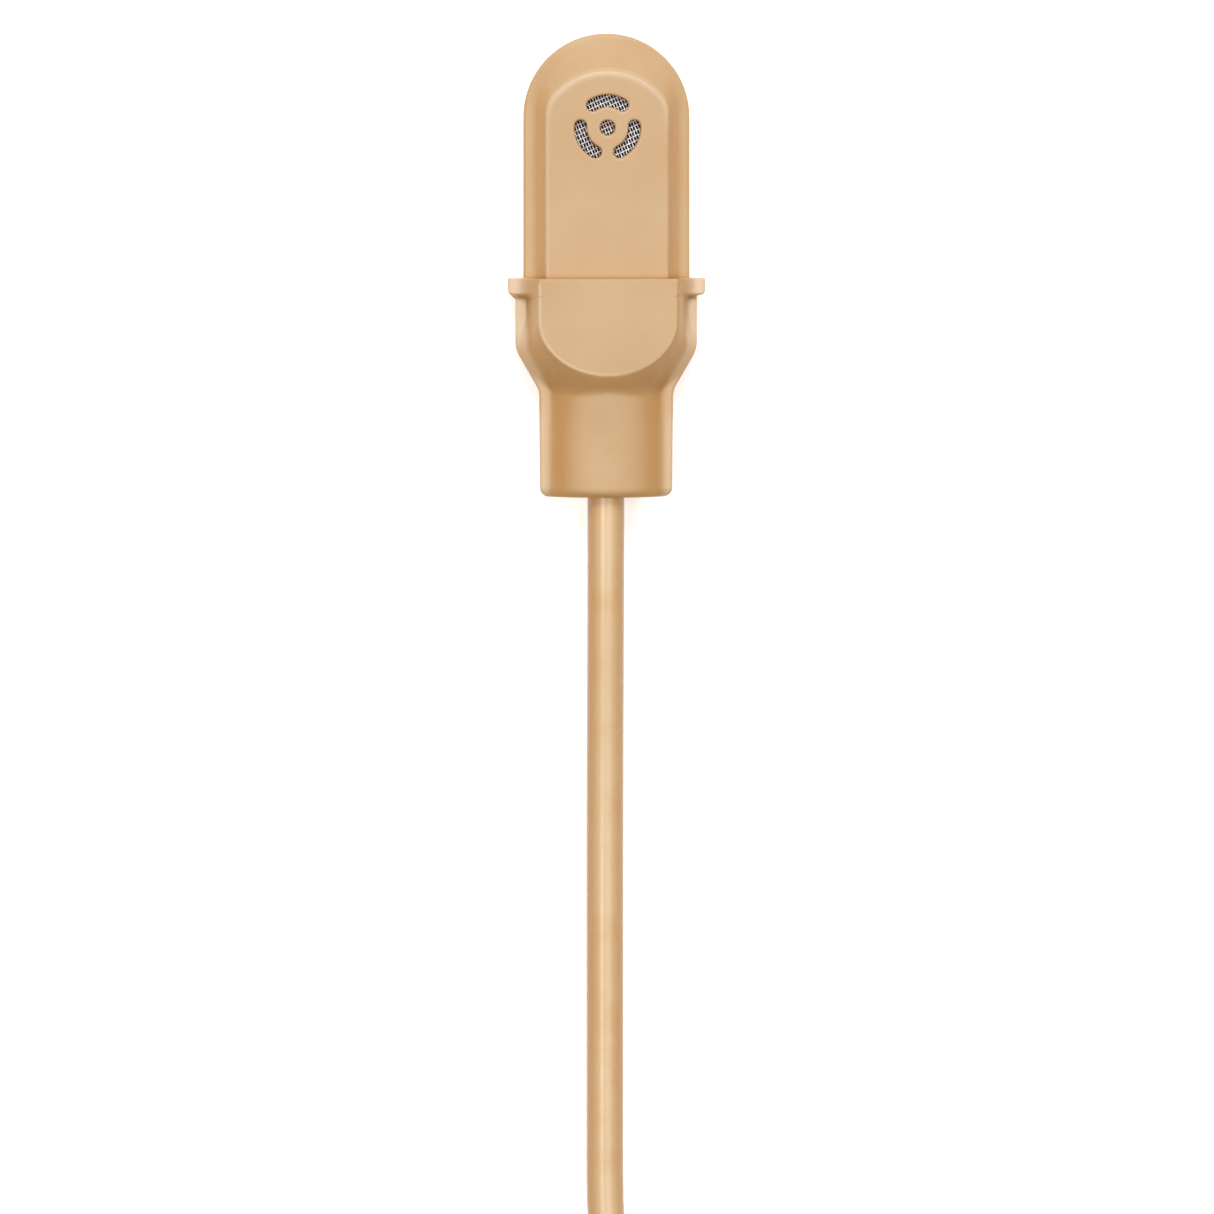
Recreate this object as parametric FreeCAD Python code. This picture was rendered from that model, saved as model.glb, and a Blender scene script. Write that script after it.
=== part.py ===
"""Miniature body-worn microphone for a stage headset: a flat oval head in a rubber boot, a thin cable put
away as a tied hank, and a 3.5 mm locking plug with a turning lock ring.

Frame, in millimetres: the microphone lies on the flat back of its boot. +Z comes out of the grille, +Y runs
from the cable to the tip of the head, X goes across. z = 0 is the surface that it lies on, and the origin is
below the middle of the head and boot together.
"""
import FreeCAD, Part
import math
import os

# ---- Driving dimensions -------------------------------------------------------------------------------

# Head: two plastic shells that meet at the parting plane
HEAD_HALF_WIDTH = 3.585
HEAD_ARC_Y = 6.435  # centre of the round tip
CASE_END_Y = -3.0  # lower end of the shells, inside the boot
CASE_BACK_Z = 0.4
PARTING_Z = 2.1
SHOULDER_Z = 2.4
PAD_Z = 3.35  # front face of the raised pad
WALL = 0.45
LIP_HEIGHT = 0.2
LIP_THICKNESS = 0.2
CROWN_HALF_WIDTH = 2.95  # foot of the raised pad
CROWN_ARC_Y = 6.85
PAD_HALF_WIDTH = 2.66
PAD_ARC_RADIUS = 3.1
PAD_ARC_Y = 5.33
ROOM_HALF_WIDTH = 2.3  # room for the capsule under the pad
ROOM_ARC_RADIUS = 2.45
ROOM_ARC_Y = 5.84
ROOM_END_Y = -2.64

# Grille: a centre hole and three curved slots
GRILLE_Y = 5.97
HOLE_RADIUS = 0.325
SLOT_MID_RADIUS = 1.165
SLOT_HALF_WIDTH = 0.265
SLOT_HALF_ANGLE = 33.6  # degrees, along the slot's centreline
SLOT_COUNT = 3

# Capsule stack, from the grille inwards
MESH_RADIUS = 1.8
MESH_THICKNESS = 0.1
MEMBRANE_THICKNESS = 0.04
GASKET_RADIUS = 2.2
CAN_RADIUS = 2.25
CAN_HEIGHT = 1.61
CAN_WALL = 0.13
CAN_FACE = 0.15
CAN_LIP_RADIUS = 1.7
SOUND_HOLE_RADIUS = 0.2
SOUND_HOLE_PLACE = 0.9
SOUND_HOLES = 5
RING_INNER_RADIUS = 1.75
RING_HEIGHT = 0.15
FILM_THICKNESS = 0.03
SPACER_HEIGHT = 0.05
SPACER_INNER_RADIUS = 1.85
PLATE_RADIUS = 1.95
PLATE_HEIGHT = 0.25
PLATE_HOLE_RADIUS = 0.15
PLATE_HOLES = 4
CONTACT_INNER_RADIUS = 1.6
BOARD_HEIGHT = 0.25
CHIP = (0.9, 0.6, 0.4)
COLLAR_RADIUS = 2.9
CUSHION_INNER_RADIUS = 1.5
WIRE_GAP = 2.0  # opening of the cushion for the wires
JOINT_X = 0.6  # solder joints, either side of the middle
JOINT_RADIUS = 0.28

# Rubber boot
BOOT_TOP_Y = -0.52
BOOT_END_Y = -10.02
BOOT_HALF_WIDTH = 3.93
TAPER_START_Y = -3.31
TAPER_ANGLE = math.radians(30)  # of the straight part between the taper's two arcs
TAPER_UPPER_RADIUS = 1.2
TAPER_LOWER_RADIUS = 1.0
NECK_HALF_WIDTH = 2.90
NECK_END_HALF_WIDTH = 2.86
NECK_CORNER = 0.4
RIM_HALF_WIDTH = 4.27
RIM_WIDTH = 0.76
RIM_TOP_Z = 2.5
BOOT_PAD_Z = 4.2
BOOT_PAD_HALF_WIDTH = 3.03
BOOT_PAD_FOOT = 0.85  # how far the pad's foot stands out from its face
BOOT_PAD_BEND_Y = -2.32  # where its straight sides end
BOOT_PAD_BEND_DEPTH = 2.40
NECK_BARREL_RADIUS = 2.85
NECK_CROWN_Z = 3.3
BARREL_START_Y = -3.6

# Cable and its put-away hank
CABLE_RADIUS = 0.8
JACKET_START_Y = -1.2
FLOOR_Z = CABLE_RADIUS
CRIMP_RADIUS = 1.0
CABLE_Z = 1.85  # its centre inside the boot
HANK_X = -3.0
HANK_NEAR_Y = -57.0  # centre of the folds nearest the microphone
HANK_FAR_Y = -88.0
OUTER_LANE = 7.2  # radius of the outermost turn's folds
LANES = 3
LAYERS = 4
WAIST_PINCH = 3.2  # how far the tie pulls each side in
TIE_THICKNESS = 0.5
TIE_WIDTH = 8.0
TIE_TAB_LENGTH = 5.0
WAIST_LENGTH = 10.0
HANK_TOP_Z = 2 * CABLE_RADIUS * LAYERS
LANE_X = HANK_X + OUTER_LANE
TOP_TURN_Z = HANK_TOP_Z - CABLE_RADIUS

# Plug, measured along its axis from the thin end of its strain relief
PLUG_X = 0.4
PLUG_Z = 4.5
PLUG_TAIL_Y = -107.0
RELIEF_LENGTH = 6.0
RELIEF_THIN_RADIUS = 1.2
RELIEF_THICK_RADIUS = 2.2
SHELL_RADIUS = 4.5
SHELL_BORE = 3.4
SHELL_LENGTH = 13.0
SHELL_LIP = 0.8
SHELL_CONE = 1.3
RELIEF_COLLAR = (3.1, 1.2)  # radius, length
CLAMP_RING = (1.1, 1.2)
FLANGE_LENGTH = 0.8
BODY_NECK_RADIUS = 2.6
BODY_NECK_LENGTH = 4.2
BODY_BORE = 2.2
BODY_SPIGOT = 5.0
LOCK_RADIUS = 4.4
LOCK_LENGTH = 8.0
LOCK_REAR_WALL = 1.75
LOCK_THREAD_RADIUS = 3.0
RUNNING_GAP = 0.05
CLIP_RADIUS = 2.9
CLIP_THICKNESS = 0.4
SHANK_RADIUS = 1.75
SHANK_LENGTH = 14.0
SLEEVE_LENGTH = 6.6
RING_CONTACT_LENGTH = 2.4
BAND_LENGTH = 0.6
TIP_ROD_RADIUS = 0.45
INNER_TUBE_RADIUS = 0.75
RING_TUBE_RADIUS = 1.0
OUTER_TUBE_RADIUS = 1.35

# Wires
WIRE_RADIUS = 0.12
SHIELD_RADIUS = 0.15
SHIELD_END_Y = GRILLE_Y - 1.97  # under the capsule can's rear lip

SHELL_START = RELIEF_LENGTH
SHELL_END = SHELL_START + SHELL_LENGTH
SEAT = SHELL_END + FLANGE_LENGTH + BODY_NECK_LENGTH  # the face that the shank stands on
JACKET_END = SHELL_START + SHELL_LIP + RELIEF_COLLAR[1] + CLAMP_RING[1]

CABLE_ROUTE = [
    (0, JACKET_START_Y, CABLE_Z),
    (0, -11.6, CABLE_Z),
    (0, -23.5, FLOOR_Z),
    (0, -45.5, FLOOR_Z),
    (LANE_X, -56.5, FLOOR_Z),
    (1.9, -64.0, FLOOR_Z),
]
PLUG_END_ROUTE = [
    (1.9, -81.0, TOP_TURN_Z),
    (LANE_X, -88.7, TOP_TURN_Z),
    (PLUG_X, PLUG_TAIL_Y + 3.0, PLUG_Z),
    (PLUG_X, PLUG_TAIL_Y - JACKET_END, PLUG_Z),
]

UP = FreeCAD.Vector(0, 0, 1)
ALONG = FreeCAD.Vector(0, 1, 0)


# ---- Shared construction ------------------------------------------------------------------------------


def at(x, y, z):
    return FreeCAD.Vector(x, y, z)


def save(node, shape):
    """Writes one sub-part, as a single solid or a group of separate ones."""
    solids = shape.Solids
    assert solids and shape.isValid(), node
    tidy = solids[0] if len(solids) == 1 else Part.makeCompound(solids)
    tidy.exportStep(f"parts/{node}.step")
    print(f"{node}: {len(solids)} solid(s), {shape.Volume:.3f} mm3")


def line(start, end):
    return Part.LineSegment(start, end).toShape()


def prism(outline, height):
    """A closed flat wire raised along +Z."""
    return Part.Face(outline).extrude(UP * height)


def block(x_range, y_range, z_range):
    sizes = [high - low for low, high in (x_range, y_range, z_range)]
    return Part.makeBox(*sizes, at(x_range[0], y_range[0], z_range[0]))


def disc(radius, low_z, high_z, x=0.0, y=GRILLE_Y):
    """An upright cylinder, on the grille's axis unless told otherwise."""
    return Part.makeCylinder(radius, high_z - low_z, at(x, y, low_z), UP)


def washer(outer_radius, inner_radius, low_z, high_z):
    return disc(outer_radius, low_z, high_z).cut(disc(inner_radius, low_z, high_z))


def rod(radius, from_y, to_y, z=CABLE_Z):
    """A cylinder along Y, from a higher y down to a lower one, usually on the cable's centre."""
    return Part.makeCylinder(radius, from_y - to_y, at(0, from_y, z), -ALONG)


def around_grille(shape, count):
    """Copies of a shape evenly spaced round the grille's axis."""
    copies = []
    for number in range(count):
        turned_copy = shape.copy()
        turned_copy.rotate(at(0, GRILLE_Y, 0), UP, 360.0 * number / count)
        copies.append(turned_copy)
    return copies


def arch(half_width, arc_radius, arc_y, end_y, z):
    """A closed outline with straight sides, a flat lower end and a round top."""
    spring_y = arc_y + math.sqrt(max(arc_radius**2 - half_width**2, 0.0))
    right, left = at(half_width, spring_y, z), at(-half_width, spring_y, z)
    low_right, low_left = at(half_width, end_y, z), at(-half_width, end_y, z)
    crown = Part.Arc(right, at(0, arc_y + arc_radius, z), left).toShape()
    return Part.Wire([crown, line(left, low_left), line(low_left, low_right), line(low_right, right)])


def head_outline(inset, z):
    radius = HEAD_HALF_WIDTH - inset
    return arch(radius, radius, HEAD_ARC_Y, CASE_END_Y + inset, z)


def tube(node, route, radius):
    """A round tube along straight runs, joined by arcs as large as the runs allow."""
    points = [at(*point) for point in route]
    edges, radii = [], []
    start = points[0]
    for before, corner, after in zip(points, points[1:], points[2:]):
        arriving = (corner - before).normalize()
        leaving = (after - corner).normalize()
        half_turn = arriving.getAngle(leaving) / 2
        reach = 0.45 * min((corner - before).Length, (after - corner).Length)
        bend = reach / math.tan(half_turn)
        inward = (leaving - arriving).normalize()
        middle = corner + inward * (bend / math.cos(half_turn) - bend)
        arc_start, arc_end = corner - arriving * reach, corner + leaving * reach
        edges += [line(start, arc_start), Part.Arc(arc_start, middle, arc_end).toShape()]
        radii.append(bend)
        start = arc_end
    edges.append(line(start, points[-1]))
    path = Part.Wire(edges)
    section = Part.Wire([Part.Circle(points[0], points[1] - points[0], radius).toShape()])
    solid = path.makePipeShell([section], True, True)
    expected = math.pi * radius**2 * path.Length
    bends = ", ".join(f"{bend:.1f}" for bend in radii)
    print(f"{node}: length {path.Length:.1f}, radii {bends}, volume / expected {solid.Volume / expected:.4f}")
    return solid


def turned(profile):
    """A solid of revolution about the plug's axis, from corners of (distance from the tail, radius)."""
    corners = [at(PLUG_X, PLUG_TAIL_Y - along, PLUG_Z + radius) for along, radius in profile]
    face = Part.Face(Part.makePolygon(corners + corners[:1]))
    return face.revolve(at(PLUG_X, 0, PLUG_Z), ALONG, 360)


def sleeve(start, end, inner_radius, outer_radius):
    """A plain tube on the plug's axis."""
    return turned([(start, inner_radius), (start, outer_radius), (end, outer_radius), (end, inner_radius)])


# ---- Head ---------------------------------------------------------------------------------------------


def case_blank():
    """The outside of both shells together, with no cavity."""
    back = prism(head_outline(0, CASE_BACK_Z), SHOULDER_Z - CASE_BACK_Z)
    foot = arch(CROWN_HALF_WIDTH, CROWN_HALF_WIDTH, CROWN_ARC_Y, CASE_END_Y, SHOULDER_Z)
    face = arch(PAD_HALF_WIDTH, PAD_ARC_RADIUS, PAD_ARC_Y, CASE_END_Y, PAD_Z)
    crown = Part.makeLoft([foot, face], True, True)
    return back.fuse(crown).removeSplitter()


def slot_cutter():
    """One curved slot with round ends, centred above the middle of the grille."""
    low_z, height = PAD_Z - 2 * WALL, 3 * WALL
    outer, inner = SLOT_MID_RADIUS + SLOT_HALF_WIDTH, SLOT_MID_RADIUS - SLOT_HALF_WIDTH

    def polar(radius, angle):
        turn = math.radians(90 + angle)
        return at(radius * math.cos(turn), GRILLE_Y + radius * math.sin(turn), low_z)

    def cap(side):
        end = side * SLOT_HALF_ANGLE
        bulge = side * math.degrees(SLOT_HALF_WIDTH / SLOT_MID_RADIUS)
        return Part.Arc(polar(inner, end), polar(SLOT_MID_RADIUS, end + bulge), polar(outer, end)).toShape()

    def sweep(radius):
        ends = [polar(radius, side * SLOT_HALF_ANGLE) for side in (-1, 1)]
        return Part.Arc(ends[0], polar(radius, 0), ends[1]).toShape()

    outline = Part.Wire(Part.__sortEdges__([sweep(outer), cap(1), sweep(inner), cap(-1)]))
    return prism(outline, height)


def front_shell():
    inner_z = PAD_Z - WALL
    upper = case_blank().common(block((-5, 5), (-5, 12), (PARTING_Z, PAD_Z)))
    low_room = prism(head_outline(WALL - LIP_THICKNESS, PARTING_Z), LIP_HEIGHT)
    high_outline = arch(ROOM_HALF_WIDTH, ROOM_ARC_RADIUS, ROOM_ARC_Y, ROOM_END_Y, PARTING_Z)
    high_room = prism(high_outline, inner_z - PARTING_Z)
    cutters = around_grille(slot_cutter(), SLOT_COUNT)
    cutters.append(disc(HOLE_RADIUS, inner_z - 1, PAD_Z + 1))
    cutters += [low_room, high_room, rod(CABLE_RADIUS, 0, CASE_END_Y - 1)]
    return upper.cut(cutters)


def rear_shell():
    lower = case_blank().common(block((-5, 5), (-5, 12), (CASE_BACK_Z, PARTING_Z)))
    lip = prism(head_outline(WALL - LIP_THICKNESS, PARTING_Z), LIP_HEIGHT)
    room = prism(head_outline(WALL, PARTING_Z), LIP_HEIGHT)
    floor_room = prism(head_outline(WALL, 2 * CASE_BACK_Z), PARTING_Z - 2 * CASE_BACK_Z)
    solid = lower.cut(floor_room).fuse(lip.cut(room))
    return solid.cut(rod(CABLE_RADIUS, 0, CASE_END_Y - 1))


def capsule_levels():
    """Heights of the capsule's layers, from the grille inwards."""
    levels = {"mesh": PAD_Z - WALL}
    levels["membrane"] = levels["mesh"] - MESH_THICKNESS
    levels["can"] = levels["membrane"] - MEMBRANE_THICKNESS
    levels["ring"] = levels["can"] - CAN_FACE
    levels["film"] = levels["ring"] - RING_HEIGHT
    levels["spacer"] = levels["film"] - FILM_THICKNESS
    levels["plate"] = levels["spacer"] - SPACER_HEIGHT
    levels["contact"] = levels["plate"] - PLATE_HEIGHT
    levels["back"] = levels["can"] - CAN_HEIGHT
    levels["lip"] = levels["back"] + CAN_FACE
    levels["board"] = levels["lip"] + BOARD_HEIGHT
    return levels


def capsule_can(level):
    inner_radius = CAN_RADIUS - CAN_WALL
    can = disc(CAN_RADIUS, level["back"], level["can"])
    room = disc(inner_radius, level["lip"], level["ring"])
    mouth = disc(CAN_LIP_RADIUS, level["back"], level["lip"])
    hole = disc(SOUND_HOLE_RADIUS, level["ring"], level["can"], y=GRILLE_Y + SOUND_HOLE_PLACE)
    return can.cut([room, mouth] + around_grille(hole, SOUND_HOLES))


def backplate(level):
    plate = disc(PLATE_RADIUS, level["contact"], level["plate"])
    hole = disc(PLATE_HOLE_RADIUS, level["contact"], level["plate"], y=GRILLE_Y + 1.1)
    return plate.cut(around_grille(hole, PLATE_HOLES))


def transistor(low_z):
    width, depth, height = CHIP
    y_range = (GRILLE_Y - depth / 2, GRILLE_Y + depth / 2)
    return block((-width / 2, width / 2), y_range, (low_z, low_z + height))


def capsule_cushion(level):
    ring = washer(CAN_RADIUS, CUSHION_INNER_RADIUS, 2 * CASE_BACK_Z, level["back"])
    gap = block((-WIRE_GAP / 2, WIRE_GAP / 2), (GRILLE_Y - 3, GRILLE_Y), (0, level["back"]))
    return ring.cut(gap)


def solder_joints(level):
    low_z = 2 * CASE_BACK_Z + 0.05
    joints = [disc(JOINT_RADIUS, low_z, level["lip"], x=side * JOINT_X) for side in (-1, 1)]
    joints.append(disc(JOINT_RADIUS, low_z, level["back"], y=SHIELD_END_Y))
    return Part.makeCompound(joints)


def cable_crimp():
    barrel = rod(CRIMP_RADIUS, JACKET_START_Y, CASE_END_Y + WALL)
    return barrel.cut(rod(CABLE_RADIUS, JACKET_START_Y, CASE_END_Y))


def head_wire(node, side, joints):
    """One insulated wire from the cable's end to its solder joint."""
    low_z = 2 * CASE_BACK_Z + 0.17
    route = [
        (side * 0.4, JACKET_START_Y, CABLE_Z),
        (side * 0.4, 0.6, CABLE_Z),
        (side * JOINT_X, 2.6, low_z),
        (side * (JOINT_X + 0.01), GRILLE_Y, low_z),
    ]
    return tube(node, route, WIRE_RADIUS).cut(joints)


def shield_tail(level, joints):
    """The cable's twisted screen, soldered to the can's rear lip."""
    start_z, low_z = CABLE_Z - 0.2, level["back"] - SHIELD_RADIUS
    route = [(0, JACKET_START_Y, start_z), (0, 0.2, start_z), (0, 2.2, low_z), (0, SHIELD_END_Y, low_z)]
    return tube("shield_tail", route, SHIELD_RADIUS).cut(joints)


def tail_potting(pieces_inside):
    low_y, high_y = CASE_END_Y + WALL, JACKET_START_Y + 0.8
    room = block((-2.2, 2.2), (low_y, high_y), (2 * CASE_BACK_Z, PAD_Z - WALL))
    return room.cut(pieces_inside)


def make_head():
    level = capsule_levels()
    inner_radius = CAN_RADIUS - CAN_WALL
    front, rear = front_shell(), rear_shell()
    can, joints, crimp = capsule_can(level), solder_joints(level), cable_crimp()
    signal = head_wire("signal_wire", -1, joints)
    bias = head_wire("bias_wire", 1, joints)
    shield = shield_tail(level, joints)
    save("front_shell", front)
    save("rear_shell", rear)
    save("grille_mesh", disc(MESH_RADIUS, level["membrane"], level["mesh"]))
    save("water_membrane", disc(MESH_RADIUS, level["can"], level["membrane"]))
    save("membrane_gasket", washer(GASKET_RADIUS, MESH_RADIUS, level["can"], level["mesh"]))
    save("capsule_can", can)
    save("diaphragm_ring", washer(inner_radius, RING_INNER_RADIUS, level["film"], level["ring"]))
    save("diaphragm", disc(inner_radius, level["spacer"], level["film"]))
    save("diaphragm_spacer", washer(inner_radius, SPACER_INNER_RADIUS, level["plate"], level["spacer"]))
    save("backplate", backplate(level))
    save("capsule_insulator", washer(inner_radius, PLATE_RADIUS, level["board"], level["plate"]))
    save("contact_ring", washer(PLATE_RADIUS, CONTACT_INNER_RADIUS, level["board"], level["contact"]))
    save("transistor", transistor(level["board"]))
    save("capsule_board", disc(inner_radius, level["lip"], level["board"]))
    save("solder_joints", joints)
    save("capsule_collar", washer(COLLAR_RADIUS, CAN_RADIUS, level["back"] + 0.1, PARTING_Z - 0.1))
    save("capsule_cushion", capsule_cushion(level))
    save("signal_wire", signal)
    save("bias_wire", bias)
    save("shield_tail", shield)
    save("cable_crimp", crimp)
    jacket = rod(CABLE_RADIUS, JACKET_START_Y, CASE_END_Y)
    save("tail_potting", tail_potting([front, rear, crimp, jacket, signal, bias, shield]))


# ---- Boot ---------------------------------------------------------------------------------------------


def taper_side(side):
    """The boot's edge on one side, from its rim down to the lower end of the neck."""
    angle = TAPER_ANGLE
    both_radii = TAPER_UPPER_RADIUS + TAPER_LOWER_RADIUS
    drop = BOOT_HALF_WIDTH - NECK_HALF_WIDTH - both_radii * (1 - math.cos(angle))

    def upper(turn):
        inward = TAPER_UPPER_RADIUS * (1 - math.cos(turn))
        return at(side * (BOOT_HALF_WIDTH - inward), TAPER_START_Y - TAPER_UPPER_RADIUS * math.sin(turn), 0)

    end_y = TAPER_START_Y - both_radii * math.sin(angle) - drop / math.tan(angle)

    def lower(turn):
        outward = TAPER_LOWER_RADIUS * (1 - math.cos(turn))
        return at(side * (NECK_HALF_WIDTH + outward), end_y + TAPER_LOWER_RADIUS * math.sin(turn), 0)

    corner_x = NECK_END_HALF_WIDTH
    corner_centre = at(side * (corner_x - NECK_CORNER), BOOT_END_Y + NECK_CORNER, 0)
    diagonal = NECK_CORNER * math.sqrt(0.5)
    corner = Part.Arc(
        at(side * corner_x, BOOT_END_Y + NECK_CORNER, 0),
        corner_centre + at(side * diagonal, -diagonal, 0),
        at(side * (corner_x - NECK_CORNER), BOOT_END_Y, 0),
    )
    return [
        line(at(side * BOOT_HALF_WIDTH, BOOT_TOP_Y, 0), upper(0)),
        Part.Arc(upper(0), upper(angle / 2), upper(angle)).toShape(),
        line(upper(angle), lower(angle)),
        Part.Arc(lower(angle), lower(angle / 2), lower(0)).toShape(),
        line(lower(0), at(side * corner_x, BOOT_END_Y + NECK_CORNER, 0)),
        corner.toShape(),
    ]


def boot_base():
    """The rear plate of the boot, up to the parting plane."""
    inner = NECK_END_HALF_WIDTH - NECK_CORNER
    ends = [
        line(at(-BOOT_HALF_WIDTH, BOOT_TOP_Y, 0), at(BOOT_HALF_WIDTH, BOOT_TOP_Y, 0)),
        line(at(-inner, BOOT_END_Y, 0), at(inner, BOOT_END_Y, 0)),
    ]
    outline = Part.Wire(Part.__sortEdges__(taper_side(1) + taper_side(-1) + ends))
    return prism(outline, PARTING_Z)


def boot_pad_outline(grow, z):
    """Straight sides and a half-oval lower end."""
    half_width, depth = BOOT_PAD_HALF_WIDTH + grow, BOOT_PAD_BEND_DEPTH + grow
    oval = Part.Ellipse(at(0, BOOT_PAD_BEND_Y, z), half_width, depth)
    end = Part.ArcOfEllipse(oval, math.pi, 2 * math.pi).toShape()
    left, right = at(-half_width, BOOT_PAD_BEND_Y, z), at(half_width, BOOT_PAD_BEND_Y, z)
    top_left, top_right = at(-half_width, BOOT_TOP_Y, z), at(half_width, BOOT_TOP_Y, z)
    return Part.Wire([line(top_right, top_left), line(top_left, left), end, line(right, top_right)])


def make_boot():
    pad = Part.makeLoft(
        [boot_pad_outline(BOOT_PAD_FOOT, PARTING_Z), boot_pad_outline(0, BOOT_PAD_Z)], True, True
    )
    rim = block(
        (-RIM_HALF_WIDTH, RIM_HALF_WIDTH), (BOOT_TOP_Y - RIM_WIDTH, BOOT_TOP_Y), (0, RIM_TOP_Z)
    )
    barrel = rod(NECK_BARREL_RADIUS, BARREL_START_Y, BOOT_END_Y, z=NECK_CROWN_Z - NECK_BARREL_RADIUS)
    barrel = barrel.common(block((-5, 5), (-12, 0), (PARTING_Z, NECK_CROWN_Z)))
    solid = boot_base().fuse([pad, rim, barrel])
    channel = rod(CABLE_RADIUS, 0, BOOT_END_Y - 1)
    save("boot", solid.cut([case_blank(), channel]).removeSplitter())


# ---- Cable, hank and tie ------------------------------------------------------------------------------


def hank_blank():
    """The bundle of turns: round folds at both ends, pinched in at the waist by its tie."""
    outer = OUTER_LANE + CABLE_RADIUS
    waist = outer - WAIST_PINCH
    middle_y = (HANK_NEAR_Y + HANK_FAR_Y) / 2
    waist_top, waist_end = middle_y + WAIST_LENGTH / 2, middle_y - WAIST_LENGTH / 2

    def side(sign):
        corners = [
            at(HANK_X + sign * outer, HANK_NEAR_Y, 0),
            at(HANK_X + sign * waist, waist_top, 0),
            at(HANK_X + sign * waist, waist_end, 0),
            at(HANK_X + sign * outer, HANK_FAR_Y, 0),
        ]
        return [line(a, b) for a, b in zip(corners, corners[1:])]

    def fold(centre_y, sign):
        ends = [at(HANK_X + across * outer, centre_y, 0) for across in (1, -1)]
        return Part.Arc(ends[0], at(HANK_X, centre_y + sign * outer, 0), ends[1]).toShape()

    edges = side(1) + side(-1) + [fold(HANK_NEAR_Y, 1), fold(HANK_FAR_Y, -1)]
    bundle = prism(Part.Wire(Part.__sortEdges__(edges)), HANK_TOP_Z)
    across = (HANK_X - waist, HANK_X + waist)
    raised = block(across, (waist_end, waist_top), (TIE_THICKNESS, HANK_TOP_Z + TIE_THICKNESS))
    under = block(across, (waist_end, waist_top), (0, TIE_THICKNESS))
    return bundle.cut(under).fuse(raised).removeSplitter()


def hank_tie():
    """A soft strap round the waist, with its free end lapped over the top."""
    waist = OUTER_LANE + CABLE_RADIUS - WAIST_PINCH
    middle_y = (HANK_NEAR_Y + HANK_FAR_Y) / 2
    along = (middle_y - TIE_WIDTH / 2, middle_y + TIE_WIDTH / 2)
    top_z = HANK_TOP_Z + 2 * TIE_THICKNESS
    outside = block((HANK_X - waist - TIE_THICKNESS, HANK_X + waist + TIE_THICKNESS), along, (0, top_z))
    inside = block((HANK_X - waist, HANK_X + waist), along, (TIE_THICKNESS, top_z - TIE_THICKNESS))
    tab = block((HANK_X - TIE_TAB_LENGTH / 2, HANK_X + waist), along, (top_z, top_z + TIE_THICKNESS))
    return outside.cut(inside).fuse(tab).removeSplitter()


def make_cable():
    free_cable = tube("cable", CABLE_ROUTE, CABLE_RADIUS)
    plug_end = tube("cable_plug_end", PLUG_END_ROUTE, CABLE_RADIUS)
    save("cable", free_cable)
    save("cable_plug_end", plug_end)
    save("cable_hank", hank_blank().cut([free_cable, plug_end]))
    save("hank_tie", hank_tie())
    return plug_end


# ---- Plug ---------------------------------------------------------------------------------------------


def plug_relief(plug_end):
    """Moulded on the cable, so its bore follows the cable's last gentle bend."""
    collar_start = SHELL_START + SHELL_LIP
    collar_radius, collar_length = RELIEF_COLLAR
    solid = turned([
        (0, 0),
        (0, RELIEF_THIN_RADIUS),
        (SHELL_START, RELIEF_THICK_RADIUS),
        (collar_start, RELIEF_THICK_RADIUS),
        (collar_start, collar_radius),
        (collar_start + collar_length, collar_radius),
        (collar_start + collar_length, 0),
    ])
    return solid.cut(plug_end)


def plug_shell():
    return turned([
        (SHELL_START, RELIEF_THICK_RADIUS),
        (SHELL_START, SHELL_RADIUS - SHELL_CONE),
        (SHELL_START + SHELL_CONE, SHELL_RADIUS),
        (SHELL_END, SHELL_RADIUS),
        (SHELL_END, SHELL_BORE),
        (SHELL_START + SHELL_LIP, SHELL_BORE),
        (SHELL_START + SHELL_LIP, RELIEF_THICK_RADIUS),
    ])


def plug_body():
    """Threaded into the shell; its flange and neck carry the lock ring."""
    neck_start = SHELL_END + FLANGE_LENGTH
    body = turned([
        (SHELL_END - BODY_SPIGOT, BODY_BORE),
        (SHELL_END - BODY_SPIGOT, SHELL_BORE),
        (SHELL_END, SHELL_BORE),
        (SHELL_END, SHELL_RADIUS),
        (neck_start, SHELL_RADIUS),
        (neck_start, BODY_NECK_RADIUS),
        (SEAT, BODY_NECK_RADIUS),
        (SEAT, BODY_BORE),
    ])
    return body.cut(clip_groove())


def clip_start():
    return SHELL_END + FLANGE_LENGTH + LOCK_REAR_WALL + 2 * RUNNING_GAP


def clip_groove():
    return sleeve(clip_start(), clip_start() + CLIP_THICKNESS, BODY_NECK_RADIUS - 0.2, BODY_NECK_RADIUS)


def ring_clip():
    """A split ring in the neck's groove, which keeps the lock ring on."""
    ring = sleeve(clip_start(), clip_start() + CLIP_THICKNESS, BODY_NECK_RADIUS - 0.2, CLIP_RADIUS)
    split_y = PLUG_TAIL_Y - clip_start()
    split = block((PLUG_X - 0.4, PLUG_X + 0.4), (split_y - 1, split_y + 1), (PLUG_Z, PLUG_Z + 5))
    return ring.cut(split)


def lock_ring():
    start = SHELL_END + FLANGE_LENGTH + RUNNING_GAP
    wall_end = start + LOCK_REAR_WALL
    bore = BODY_NECK_RADIUS + RUNNING_GAP
    return turned([
        (start, bore),
        (start, LOCK_RADIUS),
        (start + LOCK_LENGTH, LOCK_RADIUS),
        (start + LOCK_LENGTH, LOCK_THREAD_RADIUS),
        (wall_end, LOCK_THREAD_RADIUS),
        (wall_end, bore),
    ])


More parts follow.
